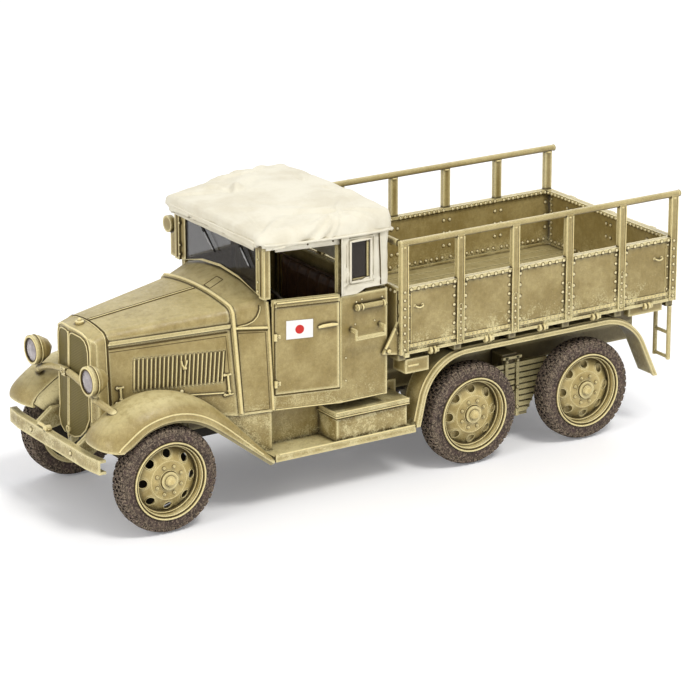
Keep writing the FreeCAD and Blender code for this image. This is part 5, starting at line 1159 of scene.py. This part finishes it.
# Door, quarter and windscreen details
DOOR = [(35.7, 52.3), (35.7, 28.35), (19.0, 28.35), (19.0, 52.3)]
GRIP = [(24.6, 45.1), (23.4, 45.3), (21.2, 45.45), (19.6, 45.4)]
FLAG = [(32.7, 47.55), (25.85, 47.4), (25.9, 42.65), (32.75, 42.7)]
CAB_BOLTS = [(14.0, 50.2), (12.4, 50.6), (6.3, 50.3), (14.4, 44.4), (8.6, 44.4), (17.2, 30.0), (17.2, 36.0)]
for way, side in zip(WAYS, ("left", "right")):
    on_side(DARK, way, CAB, DOOR, 0.2, -0.05)
    on_side(BRIGHT, way, CAB, [(35.2, 52.4), (19.4, 52.4)], 0.3)
    on_side(DARK, way, CAB, [(35.2, 51.3), (19.4, 51.3)], 0.14, -0.03)
    on_side(BRIGHT, way, CAB, [(18.7, 28.3), (18.7, 52.0)], 0.16)
    on_side(BRIGHT, way, CAB, [(35.6, 24.55), (6.0, 24.55)], 0.2)
    for z in (43.6, 31.3):
        BRIGHT.tube(side_line(DOORS, [(35.5, z - 0.9), (35.5, z + 0.9)], way, 0.2), 0.42, 8)
        place, normal = beside(DOORS, 34.7, z, way)
        BRIGHT.dome(place, normal, 0.75, 0.28, 4, 1)
        BRIGHT.stud(place + normal * 0.15, normal, 0.24)
    BRIGHT.tube(side_line(DOORS, GRIP, way, 0.5), [0.34, 0.5, 0.52, 0.34], 10)
    place, normal = beside(DOORS, 20.6, 45.4, way)
    BRIGHT.tube([place, place + normal * 0.5], 0.4, 8)
    normal = beside(DOORS, *FLAG[0], way)[1]
    corners = side_line(DOORS, FLAG, way)
    sign = Build()
    sign.prism(*[[place + normal * lift for place in corners] for lift in (0.02, 0.08)])
    dress(sign.finish("door_flag_" + side, smooth=False), "white")
    disc = Build()
    disc.lathe(sum(corners, Vector()) / 4, normal, [(0.0, 1.15), (0.13, 1.15), (0.13, OPEN_END)], 40)
    dress(disc.finish("door_disc_" + side, smooth=False), "red")
    # Clamps on the tube bracket, and bolts about it
    for x in (14.2, 12.9, 6.5):
        BRIGHT.hoop((x, 27.4 * way, 48.9), AHEAD, 0.75, 0.22, 16)
    for x, z in CAB_BOLTS:
        BRIGHT.stud(*beside(["cab_quarters"], x, z, way), 0.26)
    # Windscreen pillars: a lighter outer strip, and studs
    for z in (55.2, 57.6, 63.5):
        BRIGHT.stud((38.42, 19.4 * way, z), AHEAD, 0.32)
    BRIGHT.tube([(38.1, 21.9 * way, 53.9), (38.1, 21.9 * way, 66.0)], 0.24, 6)
    DARK.tube([(38.44, 20.6 * way, 54.2), (38.44, 20.6 * way, 66.0)], 0.12, 6)


def on_blade(blade, x, share):
    """A place in front of the windscreen at a share of a wiper blade's length."""
    return Vector((x, *Vector(blade[0]).lerp(Vector(blade[1]), share)))


wipers = Build()
arms = Build()
for blade in (((-8.5, 66.6), (-1.7, 60.2)), ((9.6, 67.0), (15.8, 60.3))):
    wipers.tube([on_blade(blade, 38.7, 0.0), on_blade(blade, 38.75, 1 / 3)], 0.34, 8)
    wipers.tube([on_blade(blade, 38.45, 0.15), on_blade(blade, 38.3, 1.0)], 0.26, 6)
    arms.tube([on_blade(blade, 38.85, 0.35), on_blade(blade, 38.6, 0.92)], 0.16, 6)
    arms.dome(on_blade(blade, 38.7, 0.65), AHEAD, 0.34, 0.3)
dress(wipers.finish("wiper_blades"), "black")
dress(arms.finish("wiper_arms"), "steel")

# Fenders, boards and boxes
APRON = [(34.2, 18.08), (36.0, 18.08), (36.3, 18.4), (36.3, 21.9)]
APRON += [(x, 22.0 - (x - 37) * 0.205) for x in steps(36.6, 52.0, 14)]
BOARD = ["running_boards"]
arch_centre = Vector((68.7, 0, 13.7))
aprons = Build()
for way in WAYS:
    # The panel that closes the space between the front fender, the cowl and the running board
    feet = []
    for x, y in APRON:
        hit = over(["front_fenders"], x, max(y, 20.2) * way)
        feet.append(Vector((x, y * way, hit[0].z - 1.0 if hit and x > 38.6 else 13.0)))
    aprons.wall([Vector((x, y * way, 24.8)) for x, y in APRON], feet, LEFT * -0.4 * way)
    # Rolled lips and the raised bands of the fenders
    centre = arch_centre + LEFT * 27.85 * way
    outs = [spoke(math.radians(turn)) for turn in steps(24, 176, 90)]
    BRIGHT.tube(lifted((meet(["front_fenders"], centre + out * FAR, -out) for out in outs), -0.08), 0.24, 8)
    BRIGHT.tube(top_line(["front_fenders"], [(x, 21.2 * way) for x in steps(53.5, 39.0, 24)]), 0.22, 6)
    band = steps(-80.4, -3.6, 90)
    BRIGHT.tube(top_line(["rear_fenders"], [(x, 26.7 * way) for x in band]), 0.34, 8)
    DARK.tube(top_line(["rear_fenders"], [(x, 26.15 * way) for x in band], -0.03), 0.12, 6)
    # The running board's edge and its bolts
    rim = [(x, 27.45 * way, over(BOARD, x, 27.2 * way)[0].z - 0.1) for x in steps(37.6, -3.0, 20)]
    BRIGHT.tube(rim, 0.26, 8)
    for x in (36.4, 34.8, 33.2):
        BRIGHT.stud(*over(BOARD, x, 26.2 * way), 0.3)
dress(aprons.finish("fender_aprons", smooth=False), "body")
# The toolbox's lid
box_low, box_high = reach("toolbox")
rear_x, front_x = box_low.x + 0.1, box_high.x
BRIGHT.tube([(rear_x, 27.05, 20.6), (front_x, 27.05, 20.6), (front_x + 0.05, 18.4, 20.6)], 0.2, 6)
DARK.tube([(rear_x, 27.0, 20.25), (front_x, 27.0, 20.25), (front_x, 18.4, 20.25)], 0.14, 6)
lid_x = front_x - 0.1
BRIGHT.tube([(box_low.x, 26.9, 21.85), (lid_x, 26.9, 21.85), (lid_x, 18.2, 21.85)], 0.22, 6)

# Louvres: a bright outer lip and a dark line of painted shade in the slot behind it
for low_x, top_x in zip(steps(70.26, 48.70, 21), steps(69.66, 47.54, 21)):
    for way in WAYS:
        for build, shift, lift in ((BRIGHT, 0.0, 0.0), (DARK, -0.5, -0.05)):
            slit = between([(low_x + shift, 33.4), (top_x + shift, 40.8)], 6)
            build.tube(side_line(["hood_sides"], slit, way, lift), 0.2, 6)

# Leaf springs between the rear wheels, with their brackets and bolts
spring_low, spring_high = reach("bogie_springs")
middle_x = (spring_low.x + spring_high.x) / 2
leaves = Build()
for way in WAYS:
    face = spring_high.y * way
    for row in range(9):
        z = 21.1 - 1.6 * row
        ends = [middle_x - 12.6 + 0.9 * row, middle_x + 12.6 - 0.9 * row]
        leaves.box((ends[0], face, z - 0.62), (ends[1], face + 0.32 * way, z + 0.5))
        for x in ends:
            leaves.tube([(x, face, z), (x, face + 0.34 * way, z)], 0.5, 10)
    for x in (middle_x - 2.6, middle_x + 0.9):
        leaves.box((x, face, 6.9), (x + 0.9, face + 0.8 * way, 23.6))
        for z in (9.4, 15.0, 22.4):
            leaves.stud((x + 0.45, face + 0.8 * way, z), LEFT * way, 0.42)
    leaves.box((middle_x - 3.4, face, 23.0), (middle_x + 2.6, face + 0.8 * way, 23.7))
dress(leaves.finish("spring_leaves", smooth=False), "body")
leaves.studded("spring")

# Locker, gussets and brackets under the bed
FITTINGS = ["bed_fittings"]
HEX_BOLT = [(0.0, 0.62), (0.5, 0.6), (0.62, 0.4), (0.62, OPEN_END)]


def outside(hits, way):
    """The hits that lie on the outside of the truck."""
    return [hit for hit in hits if hit and hit[0].y * way > 20]


for way in WAYS:
    handle = [(-0.6, 27.1), (-0.9, 27.5), (-3.9, 27.5), (-4.2, 27.1)]
    BRIGHT.tube([(x, y * way, 30.8) for x, y in handle], 0.36, 8)
    gusset = [beside(FITTINGS, x, z, way) for x, z in between([(6.6, 35.0), (3.6, 43.2), (0.6, 35.4)], 5)]
    BRIGHT.tube(lifted(outside(gusset, way)), 0.3, 8)
    bolts = ((5.9, 34.6), (4.4, 34.2), (5.2, 36.0))
    for place, _ in outside([beside(FITTINGS + ["bed_bearers"], x, z, way) for x, z in bolts], way):
        BRIGHT.lathe(place, LEFT * way, HEX_BOLT, 6)
    for place, normal in outside([beside(FITTINGS, x, 31.4, way) for x in (-74.4, -79.0)], way):
        BRIGHT.stud(place, normal, 0.5)

# Seats: pads swelled by cloth from a shape inside their solids, then sewn. The cloth is solved larger.
REAL = 30.0
CLOTH_FRAMES = 20
PRESSURE = 4.0
VOXEL = 0.011
CHANNELS = 8
CHANNEL_WIDTH = 0.42
CHANNEL_DEPTH = 0.55
# How far a pad falls toward its two ends
END_DROP = 0.35


def evaluated(piece):
    return piece.evaluated_get(bpy.context.evaluated_depsgraph_get())


def swell(piece):
    """The places of a piece's points when cloth has held pressure for some frames."""
    cloth = piece.modifiers.new("cloth", "CLOTH")
    cloth.settings.use_pressure = True
    cloth.settings.uniform_pressure_force = PRESSURE
    cloth.settings.effector_weights.gravity = 0.0
    cloth.settings.quality = 5
    cloth.point_cache.frame_start = 1
    cloth.point_cache.frame_end = CLOTH_FRAMES
    for number in range(1, CLOTH_FRAMES + 1):
        bpy.context.scene.frame_set(number)
    places = [vertex.co.copy() for vertex in evaluated(piece).to_mesh().vertices]
    piece.modifiers.clear()
    bpy.context.scene.frame_set(1)
    return places


def pad(name, upward, cap):
    """A closed pad, flat where it rests, crowned along upward and pinched along its sewn channels."""
    low, high = reach(name)
    middle = (low + high) / 2
    shape = Build()
    shape.box(low + Vector((0.5, 0.6, 0.35)), high - Vector((0.5, 0.6, 0.5)))
    piece = shape.finish(name + "_pad")
    for vertex in piece.data.vertices:
        vertex.co *= REAL
    remesh = piece.modifiers.new("remesh", "REMESH")
    remesh.mode = "VOXEL"
    remesh.voxel_size = VOXEL
    piece.modifiers.new("round", "SMOOTH").iterations = 8
    made = bpy.data.meshes.new_from_object(evaluated(piece))
    piece.modifiers.clear()
    piece.data = made
    start = [vertex.co.copy() for vertex in made.vertices]
    grown = swell(piece)
    seams = steps(low.y, high.y, CHANNELS)[1:-1]
    for vertex, first, last in zip(made.vertices, start, grown):
        move = last - first
        if move.length > cap:
            move = move.normalized() * cap
        place = (first + move) / REAL / MM
        if (place - middle).dot(upward) > 0:
            edge = min(1.0, (high.y - abs(place.y)) / 3.0)
            pinch = max(math.exp(-((place.y - seam) / CHANNEL_WIDTH) ** 2) for seam in seams)
            place -= upward * (CHANNEL_DEPTH * pinch + END_DROP * (1 - edge))
        for axis in range(3):
            place[axis] = min(max(place[axis], low[axis] + 0.02), high[axis] - 0.02)
        vertex.co = place * MM
    made.shade_smooth()
    finer = piece.modifiers.new("finer", "SUBSURF")
    finer.levels = 1
    finer.render_levels = 1
    dress(piece, "seat", TRUCK, [name])
    return low, high


cushion_low, cushion_high = pad("seat_cushion", UP, 0.025)
back_low, back_high = pad("seat_back", AHEAD, 0.02)
rim_z = cushion_high.z - 0.95
rim_x = back_high.x - 0.8
cushion_half = [(cushion_low.x + 0.7, 19.6), (cushion_high.x - 0.7, 19.6), (cushion_high.x - 0.25, 19.1)]
back_half = [(19.6, back_low.z + 0.5), (19.6, back_high.z - 0.9), (19.0, back_high.z - 0.3)]
piping = Build()
piping.tube([(x, y * way, rim_z) for way in WAYS for x, y in cushion_half[::way]], 0.2, 6)
piping.tube([(rim_x, y * way, z) for way in WAYS for y, z in back_half[::way]], 0.2, 6)
dress(piping.finish("seat_piping"), "seat")

# Cab inside, tail and underside
for y, radius in ((0, 1.5), (-4.5, 1.1), (4.5, 1.1)):
    BRIGHT.lathe((35.2, y, 49.0), -AHEAD, [(0.75, radius), (0.95, radius), (0.95, OPEN_END)], 24)
gate_x = gate_low.x
TAIL_LAMP = (-84.3, -12.7, 30.6)
tail = Build()
for y in GATE_POSTS:
    tail.tube([(gate_x + 0.35, y - 1.6, 36.0), (gate_x + 0.35, y + 1.6, 36.0)], 0.5, 10)
    tail.box((gate_x - 0.05, y - 0.8, 36.0), (gate_x + 0.4, y + 0.8, 39.4))
    for z in (37.4, 38.8):
        tail.stud((gate_x - 0.05, y, z), -AHEAD, 0.3)
for way in WAYS:
    latch = [(gate_x + x, y * way, 50.2) for x, y in ((0.2, 25.6), (0.1, 26.9), (0.9, 27.4))]
    tail.tube(latch, 0.3, 8)
    tail.dome(latch[0], -AHEAD, 0.6, 0.4)
# A blank plate on two straps, with the tail lamp beside it
tail.box((-85.2, -22.4, 28.4), (-84.9, -14.4, 31.9))
for y in (-21.0, -15.8):
    tail.box((-84.95, y - 0.5, 28.8), (-84.6, y + 0.5, 33.2))
tail.lathe(TAIL_LAMP, -AHEAD, [(0.0, OPEN_END), (0.0, 0.7), (0.5, 1.1), (1.3, 1.2), (1.4, 1.05)], 20)
tail.box((-84.9, -13.0, 31.4), (-84.5, -12.4, 33.2))
tail.hoop((-84.9, 0, 21.4), LEFT, 1.0, 0.34, 20)
tail.box((-84.4, -1.4, 20.6), (-84.1, 1.4, 23.2))
for y in (-1.0, 1.0):
    for z in (21.1, 22.7):
        tail.stud((-84.4, y, z), -AHEAD, 0.26)
dress(tail.finish("tail_fittings"), "body")
tail.studded("tail")
lens = Build()
lens.lathe(TAIL_LAMP, -AHEAD, [(1.25, 1.0), (1.45, 0.8), (1.6, 0.4), (1.62, OPEN_END)], 20)
dress(lens.finish("tail_lens"), "red")
# Valances from the front fenders' inner edges down to the frame
valances = Build()
for way in WAYS:
    tops = []
    for x in steps(75.4, 84.6, 16):
        hits = (over(["front_fenders"], x, y * way) for y in steps(12.0, 20.0, 80))
        edge = next(filter(None, hits), None)
        if edge:
            tops.append(edge[0] + Vector((0, 0.15 * way, -0.3)))
    feet = [Vector((x, 12.2 * way, 21.0)) for x in steps(75.4, 80.0, len(tops) - 1)]
    valances.wall(tops, feet, LEFT * -0.4 * way)
dress(valances.finish("fender_valances"), "fender")
# Splash plates between the frame and the front fenders, and covers of the axle housings
plates = Build()
for way in WAYS:
    plates.box((57.6, 12.0 * way, 16.5), (58.0, 17.6 * way, 30.0))
for x in (-23.9, -60.1):
    plates.lathe((x, 0, 13.7), -AHEAD, [(0.0, 2.6), (0.5, 2.6), (1.4, 1.9), (1.7, 0.8), (1.7, OPEN_END)], 24)
dress(plates.finish("splash_plates"), "under")

# The beads and lines gathered above
dress(BRIGHT.finish("body_trim", sharp=EDGE_DEGREES), "trim")
BRIGHT.studded("body")
dress(DARK.finish("panel_lines_and_shade"), "line")


# Camera, lights and floor, in metres
FLOOR_GLOW = 0.14


def placed(name, data):
    """An object in the scene."""
    piece = bpy.data.objects.new(name, data)
    bpy.context.scene.collection.objects.link(piece)
    return piece


def camera():
    """The camera that the photograph was taken with, solved from the wheels and the bed."""
    yaw, pitch, roll = -2.1376, -0.3162, -0.0025
    data = bpy.data.cameras.new("camera")
    data.sensor_width = 36
    data.lens = 172.82
    data.clip_start = 0.01
    data.clip_end = 20
    ahead = Vector((math.cos(pitch) * math.cos(yaw), math.cos(pitch) * math.sin(yaw), math.sin(pitch)))
    level = ahead.cross(UP).normalized()
    above = level.cross(ahead)
    right = level * math.cos(roll) + above * math.sin(roll)
    up = above * math.cos(roll) - level * math.sin(roll)
    turn = Matrix((right, up, -ahead)).transposed()
    piece = placed("camera", data)
    piece.matrix_world = Matrix.Translation(Vector((0.43950, 0.68896, 0.29684))) @ turn.to_4x4()
    bpy.context.scene.camera = piece


def lamp(name, place, size, power, colour):
    """A round lamp that looks at the truck's middle."""
    data = bpy.data.lights.new(name, "AREA")
    data.shape = "DISK"
    data.size = size
    data.energy = power
    data.color = colour
    piece = placed(name, data)
    piece.location = place
    piece.rotation_mode = "QUATERNION"
    piece.rotation_quaternion = (Vector((0, 0, 0.03)) - Vector(place)).to_track_quat("-Z", "Y")


def studio():
    """Three lamps and a soft world, which is white to rays that show it."""
    lamp("key_light", (-0.10, 0.75, 1.25), 0.45, 9.7, (1.0, 0.985, 0.95))
    lamp("front_light", (1.15, 0.35, 0.55), 0.6, 4.6, (1.0, 0.98, 0.95))
    lamp("back_light", (-0.9, -0.8, 0.9), 0.8, 4.0, (0.95, 0.97, 1.0))
    world = bpy.data.worlds.new("world")
    bpy.context.scene.world = world
    world.use_nodes = True
    tree = Tree(world.node_tree)
    soft, white = [
        tree.node("ShaderNodeBackground", {"Color": (1.0, 1.0, 1.0, 1.0), "Strength": strength}).outputs[0]
        for strength in (0.60, 1.0)
    ]
    mixed = tree.node("ShaderNodeMixShader", {0: tree.seen(), 1: soft, 2: white})
    tree.node("ShaderNodeOutputWorld", {"Surface": mixed.outputs[0]})


def floor():
    """A wide pale floor that keeps the truck's soft shadow."""
    mesh = bpy.data.meshes.new("floor")
    half = 6.0
    corners = [(-half, -half, 0), (half, -half, 0), (half, half, 0), (-half, half, 0)]
    mesh.from_pydata(corners, [], [(0, 1, 2, 3)])
    material = bpy.data.materials.new("floor_paint")
    material.use_nodes = True
    tree = Tree(material.node_tree)
    shader = tree.node("ShaderNodeBsdfPrincipled", {
        "Base Color": (0.93, 0.93, 0.94, 1.0), "Roughness": 0.75,
        "Emission Color": (0.96, 0.96, 1.0, 1.0), "Emission Strength": tree.times(tree.seen(), FLOOR_GLOW),
    })
    tree.node("ShaderNodeOutputMaterial", {"Surface": shader.outputs["BSDF"]})
    mesh.materials.append(material)
    piece = placed("floor", mesh)


bpy.context.scene.view_settings.view_transform = "Standard"
camera()
studio()
floor()
